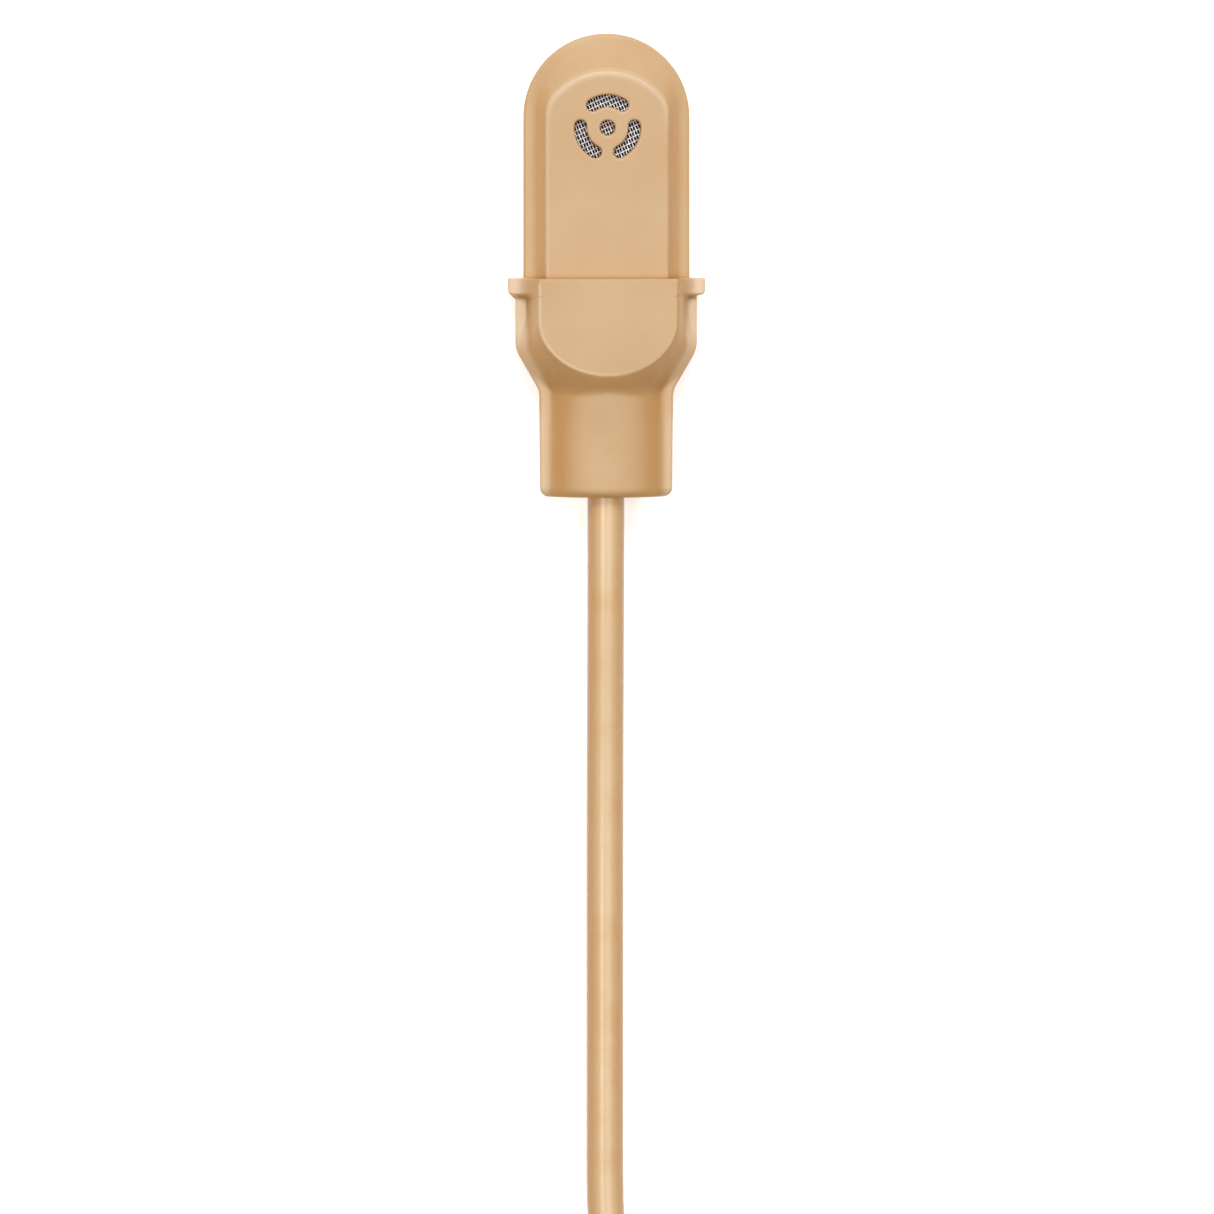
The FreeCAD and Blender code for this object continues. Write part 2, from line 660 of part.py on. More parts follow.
def contact(tube_start, band_start, band_end, inner_radius, tube_radius):
    """A tube inside the plug that ends in a full-width band on the shank."""
    return turned([
        (tube_start, inner_radius),
        (tube_start, tube_radius),
        (band_start, tube_radius),
        (band_start, SHANK_RADIUS),
        (band_end, SHANK_RADIUS),
        (band_end, inner_radius),
    ])


def tip_contact(start, head_start):
    tip_end = SEAT + SHANK_LENGTH
    return turned([
        (start, 0),
        (start, TIP_ROD_RADIUS),
        (head_start, TIP_ROD_RADIUS),
        (head_start, SHANK_RADIUS),
        (head_start + 0.5, SHANK_RADIUS),
        (tip_end - 2.1, 1.15),
        (tip_end - 1.8, 1.15),
        (tip_end - 1.1, 1.55),
        (tip_end - 0.1, 0.7),
        (tip_end, 0.5),
        (tip_end, 0),
    ])


def lug(start, inner_radius, side):
    """A washer on a contact's rear end, with a tab that its wire is soldered to."""
    ring = sleeve(start, start + 0.3, inner_radius, inner_radius + 0.5)
    near, far = inner_radius, inner_radius + 0.3
    z_range = (PLUG_Z + near, PLUG_Z + far) if side > 0 else (PLUG_Z - far, PLUG_Z - near)
    tab_y = PLUG_TAIL_Y - start
    tab = block((PLUG_X - 0.4, PLUG_X + 0.4), (tab_y, tab_y + 1.6), z_range)
    return ring.fuse(tab).removeSplitter()


def cable_clamp(start, ring_end, washer_start):
    """A crimped ring on the jacket, with a strip back to a washer on the sleeve contact."""
    ring = sleeve(start, ring_end, CABLE_RADIUS, CLAMP_RING[0])
    end_washer = sleeve(washer_start, washer_start + 0.4, OUTER_TUBE_RADIUS, BODY_BORE)
    low_z, high_z = PLUG_Z - 2.1, PLUG_Z - 1.8
    strip_y = (PLUG_TAIL_Y - washer_start, PLUG_TAIL_Y - start)
    strip = block((PLUG_X - 0.5, PLUG_X + 0.5), strip_y, (low_z, high_z))
    riser_y = (PLUG_TAIL_Y - start - 0.5, PLUG_TAIL_Y - start)
    riser = block((PLUG_X - 0.5, PLUG_X + 0.5), riser_y, (low_z, PLUG_Z - 0.95))
    return ring.fuse([strip, riser, end_washer]).removeSplitter()


def plug_wire(node, side, lug_start, lug_inner):
    """From the cable's end to the tab of one lug."""
    start_y, tab_y = PLUG_TAIL_Y - JACKET_END, PLUG_TAIL_Y - lug_start + 1.6
    high = lug_inner + 0.3 + WIRE_RADIUS
    length = start_y - tab_y
    route = [
        (PLUG_X, start_y, PLUG_Z + side * 0.3),
        (PLUG_X, start_y - length / 3, PLUG_Z + side * 0.3),
        (PLUG_X, start_y - 2 * length / 3, PLUG_Z + side * high),
        (PLUG_X + side * 0.02, tab_y - 1.0, PLUG_Z + side * high),
    ]
    return tube(node, route, WIRE_RADIUS)


def make_plug(plug_end):
    sleeve_end = SEAT + SLEEVE_LENGTH
    ring_start = sleeve_end + BAND_LENGTH
    ring_end = ring_start + RING_CONTACT_LENGTH
    tip_start = ring_end + BAND_LENGTH
    inside_start = SHELL_END - 3.5  # rear end of the sleeve contact
    ring_lug_start, tip_lug_start = inside_start - 1.3, inside_start - 2.7
    sleeve_contact = turned([
        (inside_start, OUTER_TUBE_RADIUS),
        (inside_start, BODY_BORE),
        (SEAT, BODY_BORE),
        (SEAT, SHANK_RADIUS),
        (sleeve_end, SHANK_RADIUS),
        (sleeve_end, OUTER_TUBE_RADIUS),
    ])
    save("plug_relief", plug_relief(plug_end))
    save("plug_shell", plug_shell())
    save("plug_body", plug_body())
    save("ring_clip", ring_clip())
    save("lock_ring", lock_ring())
    save("sleeve_contact", sleeve_contact)
    outer_start = inside_start - 0.6
    save("outer_insulator", contact(outer_start, sleeve_end, ring_start, RING_TUBE_RADIUS, OUTER_TUBE_RADIUS))
    save("ring_contact", contact(ring_lug_start, ring_start, ring_end, INNER_TUBE_RADIUS, RING_TUBE_RADIUS))
    inner_start = ring_lug_start - 0.8
    save("inner_insulator", contact(inner_start, ring_end, tip_start, TIP_ROD_RADIUS, INNER_TUBE_RADIUS))
    save("tip_contact", tip_contact(tip_lug_start, tip_start))
    save("ring_lug", lug(ring_lug_start, RING_TUBE_RADIUS, 1))
    save("tip_lug", lug(tip_lug_start, TIP_ROD_RADIUS, -1))
    clamp_start = JACKET_END - CLAMP_RING[1]
    save("cable_clamp", cable_clamp(clamp_start, JACKET_END, inside_start - 0.4))
    save("plug_signal_wire", plug_wire("plug_signal_wire", 1, ring_lug_start, RING_TUBE_RADIUS))
    save("plug_bias_wire", plug_wire("plug_bias_wire", -1, tip_lug_start, TIP_ROD_RADIUS))


def main():
    os.makedirs("parts", exist_ok=True)
    make_head()
    make_boot()
    make_plug(make_cable())


main()
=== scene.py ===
"""Looks of the miniature headset microphone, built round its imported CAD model.

Lengths are millimetres in the CAD model's frame, and become metres where a mesh, curve, light or camera
is made. The microphone lies on its flat back: +Z comes out of the grille, and +Y runs from the cable to
the head's tip.
"""
import math

import bmesh
import bpy
from mathutils import Matrix, Vector


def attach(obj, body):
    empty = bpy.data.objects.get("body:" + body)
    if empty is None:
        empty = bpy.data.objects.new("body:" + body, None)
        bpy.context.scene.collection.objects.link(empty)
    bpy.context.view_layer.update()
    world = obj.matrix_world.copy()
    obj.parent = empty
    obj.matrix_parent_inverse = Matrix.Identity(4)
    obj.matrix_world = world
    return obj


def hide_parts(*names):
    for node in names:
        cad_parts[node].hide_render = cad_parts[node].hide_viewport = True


MM = 0.001
# Name of the per-point share of painted highlight: pale marks where edges and ledges catch the light
PAINTED_HIGHLIGHT = "painted_highlight"

# ---- Sizes shared with the CAD model ------------------------------------------------------------------

# Head
HEAD_HALF_WIDTH = 3.585
HEAD_ARC_Y = 6.435
CASE_END_Y = -3.0
CASE_BACK_Z = 0.4
PARTING_Z = 2.1
SHOULDER_Z = 2.4
PAD_Z = 3.35
WALL = 0.45
PAD_HALF_WIDTH = 2.66
PAD_ARC_RADIUS = 3.1
PAD_ARC_Y = 5.33
ROOM_HALF_WIDTH = 2.3  # room for the capsule under the pad
ROOM_ARC_RADIUS = 2.45
ROOM_ARC_Y = 5.84
ROOM_END_Y = -2.64

# Grille
GRILLE_Y = 5.97
HOLE_RADIUS = 0.325
SLOT_MID_RADIUS = 1.165
SLOT_HALF_WIDTH = 0.265
SLOT_HALF_ANGLE = math.radians(33.6)
SLOT_COUNT = 3
MESH_RADIUS = 1.8
MESH_THICKNESS = 0.1

# Boot
BOOT_TOP_Y = -0.52
BOOT_END_Y = -10.02
BOOT_HALF_WIDTH = 3.93
TAPER_START_Y = -3.31
TAPER_ANGLE = math.radians(30)  # of the straight part between the taper's two arcs
TAPER_UPPER_RADIUS = 1.2
TAPER_LOWER_RADIUS = 1.0
NECK_HALF_WIDTH = 2.90
NECK_END_HALF_WIDTH = 2.86
NECK_CORNER = 0.4
RIM_HALF_WIDTH = 4.27
RIM_WIDTH = 0.76
RIM_TOP_Z = 2.5
BOOT_PAD_Z = 4.2
BOOT_PAD_HALF_WIDTH = 3.03
BOOT_PAD_BEND_Y = -2.32
BOOT_PAD_BEND_DEPTH = 2.40
NECK_BARREL_RADIUS = 2.85
NECK_CROWN_Z = 3.3

# Cable and hank
CABLE_RADIUS = 0.8
CABLE_Z = 1.85
PLUG_X = 0.4
PLUG_Z = 4.5
HANK_X = -3.0
HANK_NEAR_Y = -57.0
HANK_FAR_Y = -88.0
OUTER_LANE = 7.2
LANES = 3
LAYERS = 4
WAIST_PINCH = 3.2
WAIST_LENGTH = 10.0
TIE_THICKNESS = 0.5
TIE_WIDTH = 8.0
TIE_TAB_LENGTH = 5.0
LANE_X = 4.2  # where the outermost turn runs
TOP_TURN_Z = 5.6
CABLE_ROUTE = [
    (0, -1.2, CABLE_Z),
    (0, -11.6, CABLE_Z),
    (0, -23.5, CABLE_RADIUS),
    (0, -33.7, CABLE_RADIUS),  # keeps the long run straight up to the bend
    (0, -45.5, CABLE_RADIUS),
    (LANE_X, -56.5, CABLE_RADIUS),
    (1.9, -64.0, CABLE_RADIUS),
]
PLUG_END_ROUTE = [
    (1.9, -81.0, TOP_TURN_Z),
    (LANE_X, -88.7, TOP_TURN_Z),
    (PLUG_X, -104.0, PLUG_Z),
    (PLUG_X, -116.2, PLUG_Z),
]

# Plug, measured along its axis from the thin end of its strain relief
PLUG_TAIL_Y = -107.0
SHELL_START = 6.0
SHELL_END = 19.0
SHELL_RADIUS = 4.5
FLANGE_END = 19.8
SEAT = 24.0
BODY_NECK_RADIUS = 2.6
BODY_BORE = 2.2
LOCK_START = 19.85
LOCK_END = 27.85
LOCK_RADIUS = 4.4
LOCK_THREAD_RADIUS = 3.0
SHANK_RADIUS = 1.75
SLEEVE_END = 30.6
RING_START = 31.2
RING_END = 33.6
TIP_START = 34.2
TIP_ROD_RADIUS = 0.45
INNER_TUBE_RADIUS = 0.75
RING_TUBE_RADIUS = 1.0
OUTER_TUBE_RADIUS = 1.35

# ---- View ---------------------------------------------------------------------------------------------

VIEW_CENTRE = Vector((0.03, -14.78, 2.1))
VIEW_WIDTH = 52.55
VIEW_DISTANCE = 550.0
VIEW_TILT = (-2.7, 3.0)  # degrees from straight above, towards +X and +Y
SENSOR_WIDTH = 36.0


def set_inputs(node, values):
    """Sets a node's inputs, by name, to fixed values."""
    for name, value in values.items():
        node.inputs[name].default_value = value


def add_object(name, data, material=None):
    """Puts data in the scene as an object, and paints it if a material is given."""
    if material:
        data.materials.append(material)
    made = bpy.data.objects.new(name, data)
    bpy.context.scene.collection.objects.link(made)
    return made


def make_camera():
    across, along = (math.tan(math.radians(angle)) for angle in VIEW_TILT)
    back = Vector((across, along, 1)).normalized()
    right = Vector((0, 1, 0)).cross(back).normalized()
    turn = Matrix((right, back.cross(right), back)).transposed().to_4x4()
    data = bpy.data.cameras.new("camera")
    data.sensor_width = SENSOR_WIDTH
    data.lens = SENSOR_WIDTH * VIEW_DISTANCE / VIEW_WIDTH
    data.clip_start, data.clip_end = 0.01, 10
    camera = add_object("camera", data)
    camera.matrix_world = Matrix.Translation((VIEW_CENTRE + back * VIEW_DISTANCE) * MM) @ turn
    bpy.context.scene.camera = camera


def add_light(name, place, size, power, target=(0, -10, 0)):
    """A square soft light that faces the target."""
    data = bpy.data.lights.new(name, "AREA")
    data.size = size * MM
    data.energy = power
    light = add_object(name, data)
    light.location = Vector(place) * MM
    towards = Vector(target) - Vector(place)
    light.rotation_euler = towards.to_track_quat("-Z", "Y").to_euler()


def light_scene():
    world = bpy.data.worlds.new("studio")
    world.use_nodes = True
    set_inputs(world.node_tree.nodes["Background"], {"Color": (1, 1, 1, 1), "Strength": 0.2})
    scene = bpy.context.scene
    scene.world = world
    scene.view_settings.view_transform = "Standard"
    add_light("key_light", (-20, 340, 500), 200, 1.75)
    add_light("left_light", (-220, -20, 560), 150, 1.0)
    add_light("right_light", (210, 40, 570), 320, 1.06)


# ---- Materials ----------------------------------------------------------------------------------------

# Pale and warm colours, the deep colour of the painted shade and the worn colour of the painted highlight,
# then roughness, grain, reach of the recesses' painted shade, glow and specular
MOULDED_LOOKS = {
    "case_plastic": (
        ((206, 171, 129), (202, 165, 122), (199, 151, 95), (226, 200, 168)), (0.42, 0.12, 0.4, 0.15, 0.4)
    ),
    "boot_rubber": (
        ((209, 175, 134), (204, 168, 126), (187, 136, 74), (230, 205, 175)), (0.48, 0.1, 0.9, 0.2, 0.22)
    ),
    "relief_rubber": (
        ((208, 172, 129), (200, 162, 118), (176, 126, 74), (222, 196, 160)), (0.55, 0.15, 0.6, 0.1, 0.4)
    ),
}
TURNED = (1, 18, 1)  # tool marks run round the plug's axis

# Bright and worn colours, roughness, direction of the tool marks
METAL_LOOKS = {
    "nickel": ((206, 206, 204), (192, 192, 190), 0.26, TURNED),
    "knurled_nickel": ((200, 200, 199), (180, 180, 179), 0.3, TURNED),
    "gold": ((240, 205, 130), (222, 180, 100), 0.2, TURNED),
    "steel_mesh": ((250, 250, 252), (236, 236, 240), 0.45),
    "can_aluminium": ((214, 216, 218), (186, 188, 190), 0.35),
    "brass": ((226, 196, 128), (196, 160, 92), 0.3),
    "solder": ((204, 206, 208), (168, 170, 172), 0.35),
    "tinned_copper": ((206, 196, 186), (178, 160, 144), 0.35),
    "spring_steel": ((190, 190, 192), (160, 160, 164), 0.28),
}

# Light and dark colours, roughness, size of the grain
PLAIN_LOOKS = {
    "black_insulator": ((34, 34, 36), (22, 22, 24), 0.35),
    "membrane": ((20, 20, 22), (12, 12, 14), 0.8, 0.05),
    "gasket_rubber": ((40, 40, 42), (28, 28, 30), 0.7),
    "film": ((190, 184, 150), (176, 168, 132), 0.2),
    "holder_plastic": ((226, 222, 210), (210, 204, 190), 0.4),
    "board": ((44, 108, 66), (32, 88, 52), 0.4, 0.3),
    "chip": ((36, 36, 38), (26, 26, 28), 0.5),
    "wire_white": ((232, 230, 224), (216, 212, 204), 0.4),
    "wire_red": ((186, 48, 40), (160, 36, 30), 0.4),
    "potting": ((70, 62, 50), (54, 46, 36), 0.3),
}
THREAD_PITCH = 0.3  # of the strap's weave


def tone(red, green, blue):
    """A colour from its screen values, 0 to 255."""
    return tuple((value / 255) ** 2.2 for value in (red, green, blue)) + (1.0,)


def new_material(name, metallic=0.0, specular=0.5):
    material = bpy.data.materials.new(name)
    material.use_nodes = True
    shader = material.node_tree.nodes["Principled BSDF"]
    set_inputs(shader, {"Metallic": metallic, "Specular IOR Level": specular})
    return material, material.node_tree, shader


def noise(tree, size, detail=3.0, stretch=(1, 1, 1)):
    """Cloudy variation with features about as large as size, in millimetres, fixed to the object."""
    coordinates = tree.nodes.new("ShaderNodeTexCoord")
    mapping = tree.nodes.new("ShaderNodeMapping")
    set_inputs(mapping, {"Scale": stretch})
    texture = tree.nodes.new("ShaderNodeTexNoise")
    set_inputs(texture, {"Scale": 1 / (size * MM), "Detail": detail})
    tree.links.new(coordinates.outputs["Object"], mapping.inputs["Vector"])
    tree.links.new(mapping.outputs["Vector"], texture.inputs["Vector"])
    return texture.outputs["Fac"]


def spread(tree, value, low, high, from_low=0.35, from_high=0.65):
    """Stretches a texture's middle range to run from low to high."""
    node = tree.nodes.new("ShaderNodeMapRange")
    set_inputs(node, {"From Min": from_low, "From Max": from_high, "To Min": low, "To Max": high})
    tree.links.new(value, node.inputs["Value"])
    return node.outputs["Result"]


def cloud(tree, size, low=0, high=1):
    """Cloudy values that run from low to high."""
    return spread(tree, noise(tree, size), low, high)


def mix(tree, share, first, second):
    """Blends two colours, each a fixed colour or another node's output."""
    node = tree.nodes.new("ShaderNodeMix")
    node.data_type = "RGBA"
    tree.links.new(share, node.inputs["Factor"])
    for name, colour in (("A_Color", first), ("B_Color", second)):
        socket = next(item for item in node.inputs if item.identifier == name)
        if isinstance(colour, tuple):
            socket.default_value = colour
        else:
            tree.links.new(colour, socket)
    return next(item for item in node.outputs if item.identifier == "Result_Color")


def steps_of(tree, value, stops):
    """Looks a value from 0 to 1 up in a row of (position, result) stops."""
    node = tree.nodes.new("ShaderNodeValToRGB")
    ramp = node.color_ramp
    while len(ramp.elements) < len(stops):
        ramp.elements.new(0.5)
    for element, (position, result) in zip(ramp.elements, stops):
        element.position = position
        element.color = (result, result, result, 1)
    tree.links.new(value, node.inputs["Fac"])
    return node.outputs["Color"]


def combine(tree, operation, first, second, clamp=True):
    """One sum on two values, kept between 0 and 1 unless told otherwise."""
    node = tree.nodes.new("ShaderNodeMath")
    node.operation = operation
    node.use_clamp = clamp
    for socket, value in zip(node.inputs, (first, second)):
        if isinstance(value, float):
            socket.default_value = value
        else:
            tree.links.new(value, socket)
    return node.outputs["Value"]


def levelness(tree):
    """1 on faces parallel to the flat back, 0 on upright walls, raised on faces towards the tip, where the
    key light falls; the mask for painted shade.
    """
    coordinates = tree.nodes.new("ShaderNodeTexCoord")
    split = tree.nodes.new("ShaderNodeSeparateXYZ")
    tree.links.new(coordinates.outputs["Normal"], split.inputs["Vector"])
    flatness = combine(tree, "ABSOLUTE", split.outputs["Z"], 0.0)
    # Faces towards the tip get less painted shade, as the key light falls from that side
    towards_tip = combine(tree, "MULTIPLY", split.outputs["Y"], 0.45)
    return combine(tree, "ADD", flatness, towards_tip)


def shelter(tree, reach):
    """1 in the open, falling towards 0 where other surfaces stand within reach, in millimetres."""
    node = tree.nodes.new("ShaderNodeAmbientOcclusion")
    node.samples = 6
    set_inputs(node, {"Distance": reach * MM})
    return node.outputs["AO"]


def bump(tree, shader, height, depth, strength=1.0):
    """Fine relief of the given depth, in millimetres."""
    node = tree.nodes.new("ShaderNodeBump")
    set_inputs(node, {"Strength": strength, "Distance": depth * MM})
    tree.links.new(height, node.inputs["Height"])
    tree.links.new(node.outputs["Normal"], shader.inputs["Normal"])


def glow_below(shader, weight):
    """A little light scattered under the surface of skin-coloured plastic."""
    set_inputs(shader, {"Subsurface Weight": weight, "Subsurface Radius": (1.0, 0.5, 0.25)})
    set_inputs(shader, {"Subsurface Scale": 0.3 * MM})


def moulded(name, colours, finish):
    """Skin-coloured plastic or rubber, finely grained, with painted shade on its slopes and in its recesses
    and painted highlights on its marked edges.
    """
    pale, warm, deep, worn_and_highlit = (tone(*colour) for colour in colours)
    rough, grain, reach, glow, specular = finish
    material, tree, shader = new_material(name, specular=specular)
    pigment = mix(tree, cloud(tree, 3.2), pale, warm)
    # Painted shade on slopes: strongest on steep faces, less on upright walls, none on level faces
    stops = [(0.0, 0.35), (0.45, 0.95), (0.75, 0.72), (0.92, 0.1), (1.0, 0.0)]
    slope_shade = steps_of(tree, levelness(tree), stops)
    # Painted shade in recesses, where other surfaces stand near
    recess_shade = spread(tree, shelter(tree, reach), 0.8, 0, 0.3, 0.9)
    painted_shade_share = combine(tree, "ADD", slope_shade, combine(tree, "MULTIPLY", recess_shade, 0.8))
    # Painted highlight: the pale worn colour where the mesh marks it
    highlight_share = tree.nodes.new("ShaderNodeAttribute")
    highlight_share.attribute_name = PAINTED_HIGHLIGHT
    with_painted_shade = mix(tree, painted_shade_share, pigment, deep)
    tree.links.new(mix(tree, highlight_share.outputs["Fac"], with_painted_shade, worn_and_highlit), shader.inputs["Base Color"])
    tree.links.new(cloud(tree, 0.7, rough - 0.05, rough + 0.05), shader.inputs["Roughness"])
    glow_below(shader, glow)
    bump(tree, shader, noise(tree, grain, 4.0), 0.004)
    return material


def metal(name, bright, worn_and_highlit, rough, brushed=(1, 1, 1)):
    """Plated or turned metal, with faint handling marks and tool marks."""
    material, tree, shader = new_material(name, metallic=1.0)
    handled = spread(tree, noise(tree, 1.6, 5.0), 0, 1, 0.4, 0.75)
    tree.links.new(mix(tree, handled, tone(*bright), tone(*worn_and_highlit)), shader.inputs["Base Color"])
    marks = noise(tree, 0.25, 2.0, brushed)
    tree.links.new(spread(tree, marks, rough - 0.06, rough + 0.08), shader.inputs["Roughness"])
    bump(tree, shader, marks, 0.002, 0.6)
    return material


def plain(name, light, dark, rough, grain=0.2):
    """A plain plastic, rubber or board, with a little variation and grain."""
    material, tree, shader = new_material(name, specular=0.4)
    tree.links.new(mix(tree, cloud(tree, 1.2), tone(*light), tone(*dark)), shader.inputs["Base Color"])
    tree.links.new(cloud(tree, 0.5, rough - 0.07, rough + 0.07), shader.inputs["Roughness"])
    bump(tree, shader, noise(tree, grain, 4.0), 0.004)
    return material


def jacket(name):
    """The cable's satin jacket, mottled yellow, orange and pink along its length, with painted shade on its
    flanks and a pale painted highlight along its top.
    """
    material, tree, shader = new_material(name, specular=0.3)
    cloudy = mix(tree, spread(tree, noise(tree, 9, 2.0), 0, 1), tone(231, 201, 160), tone(225, 190, 146))
    flecked = spread(tree, noise(tree, 2.2, 4.0), 0, 0.6, 0.5, 0.8)
    pigment = mix(tree, flecked, cloudy, tone(214, 160, 100))
    # Painted shade: the flanks blend towards a deep orange, while the top keeps the pale pigment as a
    # painted highlight
    stops = [(0.0, 1.0), (0.5, 1.0), (0.75, 0.62), (0.93, 0.26), (1.0, 0.0)]
    slope_shade = steps_of(tree, levelness(tree), stops)
    tree.links.new(mix(tree, slope_shade, pigment, tone(184, 133, 72)), shader.inputs["Base Color"])
    set_inputs(shader, {"Coat Weight": 0.45, "Coat Roughness": 0.25})
    tree.links.new(cloud(tree, 0.6, 0.33, 0.42), shader.inputs["Roughness"])
    glow_below(shader, 0.1)
    bump(tree, shader, noise(tree, 0.15, 3.0), 0.004)
    return material


def woven(name):
    """Dark hook-and-loop webbing, with crossed rows of thread and a soft sheen."""
    material, tree, shader = new_material(name, specular=0.3)
    coordinates = tree.nodes.new("ShaderNodeTexCoord")
    split = tree.nodes.new("ShaderNodeSeparateXYZ")
    tree.links.new(coordinates.outputs["Object"], split.inputs["Vector"])
    # The strap goes round X and Z, so their sum runs along it on its flat sides
    along = combine(tree, "ADD", split.outputs["X"], split.outputs["Z"], clamp=False)
    flat = tree.nodes.new("ShaderNodeCombineXYZ")
    tree.links.new(along, flat.inputs["X"])
    tree.links.new(split.outputs["Y"], flat.inputs["Y"])
    rows = []
    for axis in ("X", "Y"):
        wave = tree.nodes.new("ShaderNodeTexWave")
        wave.bands_direction = axis
        set_inputs(wave, {"Scale": 0.5 / (THREAD_PITCH * MM) / math.pi, "Distortion": 1.5})
        tree.links.new(flat.outputs["Vector"], wave.inputs["Vector"])
        rows.append(wave.outputs["Fac"])
    weave = combine(tree, "MAXIMUM", *rows)
    fuzz = spread(tree, noise(tree, 0.2, 4.0), 0, 1)
    threads = mix(tree, weave, tone(26, 26, 28), tone(62, 62, 66))
    tree.links.new(mix(tree, fuzz, threads, tone(44, 44, 48)), shader.inputs["Base Color"])
    set_inputs(shader, {"Roughness": 0.85, "Sheen Weight": 0.4})
    bump(tree, shader, weave, 0.05)
    return material


def make_materials():
    made = {name: moulded(name, *look) for name, look in MOULDED_LOOKS.items()}
    made.update({name: metal(name, *look) for name, look in METAL_LOOKS.items()})
    made.update({name: plain(name, *look) for name, look in PLAIN_LOOKS.items()})
    made["cable_jacket"] = jacket("cable_jacket")
    made["tie_fabric"] = woven("tie_fabric")
    return made


# ---- Mesh building ------------------------------------------------------------------------------------


def ease(share):
    """Smooth step from 0 to 1, held at both ends."""
    share = min(max(share, 0.0), 1.0)
    return share * share * (3 - 2 * share)


def between(first, second, share):
    return first + (second - first) * share


def arc_height(radius, offset):
    """Height of an arc above its centre, at an offset from its middle."""
    return math.sqrt(max(radius**2 - offset**2, 0))


def polar(radius, angle):
    return Vector((radius * math.cos(angle), radius * math.sin(angle)))


def arc_points(centre, radius, start, end, steps):
    """Points evenly spaced along an arc, both of its ends included."""
    return [centre + polar(radius, between(start, end, step / steps)) for step in range(steps + 1)]


def quarter_round(radius, steps):
    """A quarter of a round edge, as pairs of insets that go from (radius, 0) to (0, radius)."""
    angles = [math.pi / 2 * step / steps for step in range(steps + 1)]
    return [(radius * (1 - math.sin(a)), radius * (1 - math.cos(a))) for a in angles]


def mark_painted_highlight(mesh, highlight_at):
    """Stores how much painted highlight each point gets, for its material to read."""
    layer = mesh.verts.layers.float.new(PAINTED_HIGHLIGHT)
    for vertex in mesh.verts:
        vertex[layer] = highlight_at(*vertex.co)


def finish_piece(name, mesh, material, replaced, body="microphone", crease=35):
    """Turns a bmesh in millimetres into a smooth-shaded piece that rides on its body."""
    bmesh.ops.recalc_face_normals(mesh, faces=mesh.faces)
    bmesh.ops.scale(mesh, vec=(MM, MM, MM), verts=mesh.verts)
    data = bpy.data.meshes.new(name)
    mesh.to_mesh(data)
    mesh.free()
    data.shade_smooth()
    data.set_sharp_from_angle(angle=math.radians(crease))
    piece = add_object(name, data, material)
    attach(piece, body)
    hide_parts(*replaced)
    return piece


def add_ring(mesh, points):
    return [mesh.verts.new(point) for point in points]


def bridge(mesh, first, second):
    """Quads between two closed rings of the same length."""
    count = len(first)
    for index in range(count):
        after = (index + 1) % count
        mesh.faces.new((first[index], first[after], second[after], second[index]))


def loft(mesh, rings):
    """Joins rings of points into one surface, and returns the first and last rings' vertices."""
    made = [add_ring(mesh, ring) for ring in rings]
    for first, second in zip(made, made[1:]):
        bridge(mesh, first, second)
    return made[0], made[-1]


def ring_edges(mesh, ring):
    return [mesh.edges.get((ring[index - 1], ring[index])) for index in range(len(ring))]


def fill_flat(mesh, rings):
    """Fills the flat area inside the first ring, round any others."""
    edges = [edge for ring in rings for edge in ring_edges(mesh, ring)]
    bmesh.ops.triangle_fill(mesh, use_beauty=True, use_dissolve=False, edges=edges, normal=(0, 0, 1))


# ---- Cable and hank -----------------------------------------------------------------------------------

HANK_MIDDLE_Y = (HANK_NEAR_Y + HANK_FAR_Y) / 2
HANK_HALF_LENGTH = (HANK_NEAR_Y - HANK_FAR_Y) / 2
RUN_POINTS = 7  # points along each straight side of a turn
FOLD_POINTS = 10  # points round each fold
LOOSENESS = 0.1  # how unevenly the turns lie away from the tie


def lane_of(turn):
    """Radius and height of one turn of the hank, lane by lane and then layer by layer."""
    layer, step = divmod(turn, LANES)
    lane = step if layer % 2 == 0 else LANES - 1 - step
    return OUTER_LANE - 2 * CABLE_RADIUS * lane, CABLE_RADIUS * (1 + 2 * layer)


def run_points(turn, side):
    """One straight side of a turn, drawn in and lifted where the tie goes round."""
    radius, height = lane_of(turn)
    points = []
    for step in range(RUN_POINTS):
        offset = HANK_HALF_LENGTH * (1 - (2 * step + 1) / RUN_POINTS) * side
        drawn = min((HANK_HALF_LENGTH - abs(offset)) / (HANK_HALF_LENGTH - WAIST_LENGTH / 2), 1)
        slack = LOOSENESS * (1 - drawn) * math.sin(2.1 * turn + step)
        x = HANK_X + side * (radius + slack - WAIST_PINCH * drawn)
        points.append((x, HANK_MIDDLE_Y + offset, height + TIE_THICKNESS * drawn))
    return points


def fold_points(turn, near):
    """Half a circle at one end. At the near end the turn moves on to the next one's lane or layer."""
    radius, height = lane_of(turn)
    next_radius, next_height = lane_of(turn + 1) if near else (radius, height)
    # A later turn moves earlier round the fold, so that no turn passes through another
    layer, step = divmod(turn, LANES)
    moves_at = 0.8 - 0.2 * layer - (0.1 if step == LANES - 1 else 0)
    centre_y = HANK_NEAR_Y if near else HANK_FAR_Y
    points = []
    for index in range(FOLD_POINTS):
        share = (index + 0.5) / FOLD_POINTS
        moved = ease((share - moves_at) / 0.4 + 0.5)
        reach = between(radius, next_radius, moved) / math.cos(math.pi / 2 / FOLD_POINTS)
        angle = math.pi * (1 - share) if near else -math.pi * share
        place = (HANK_X + reach * math.cos(angle), centre_y + reach * math.sin(angle))
        points.append((*place, between(height, next_height, moved)))
    return points


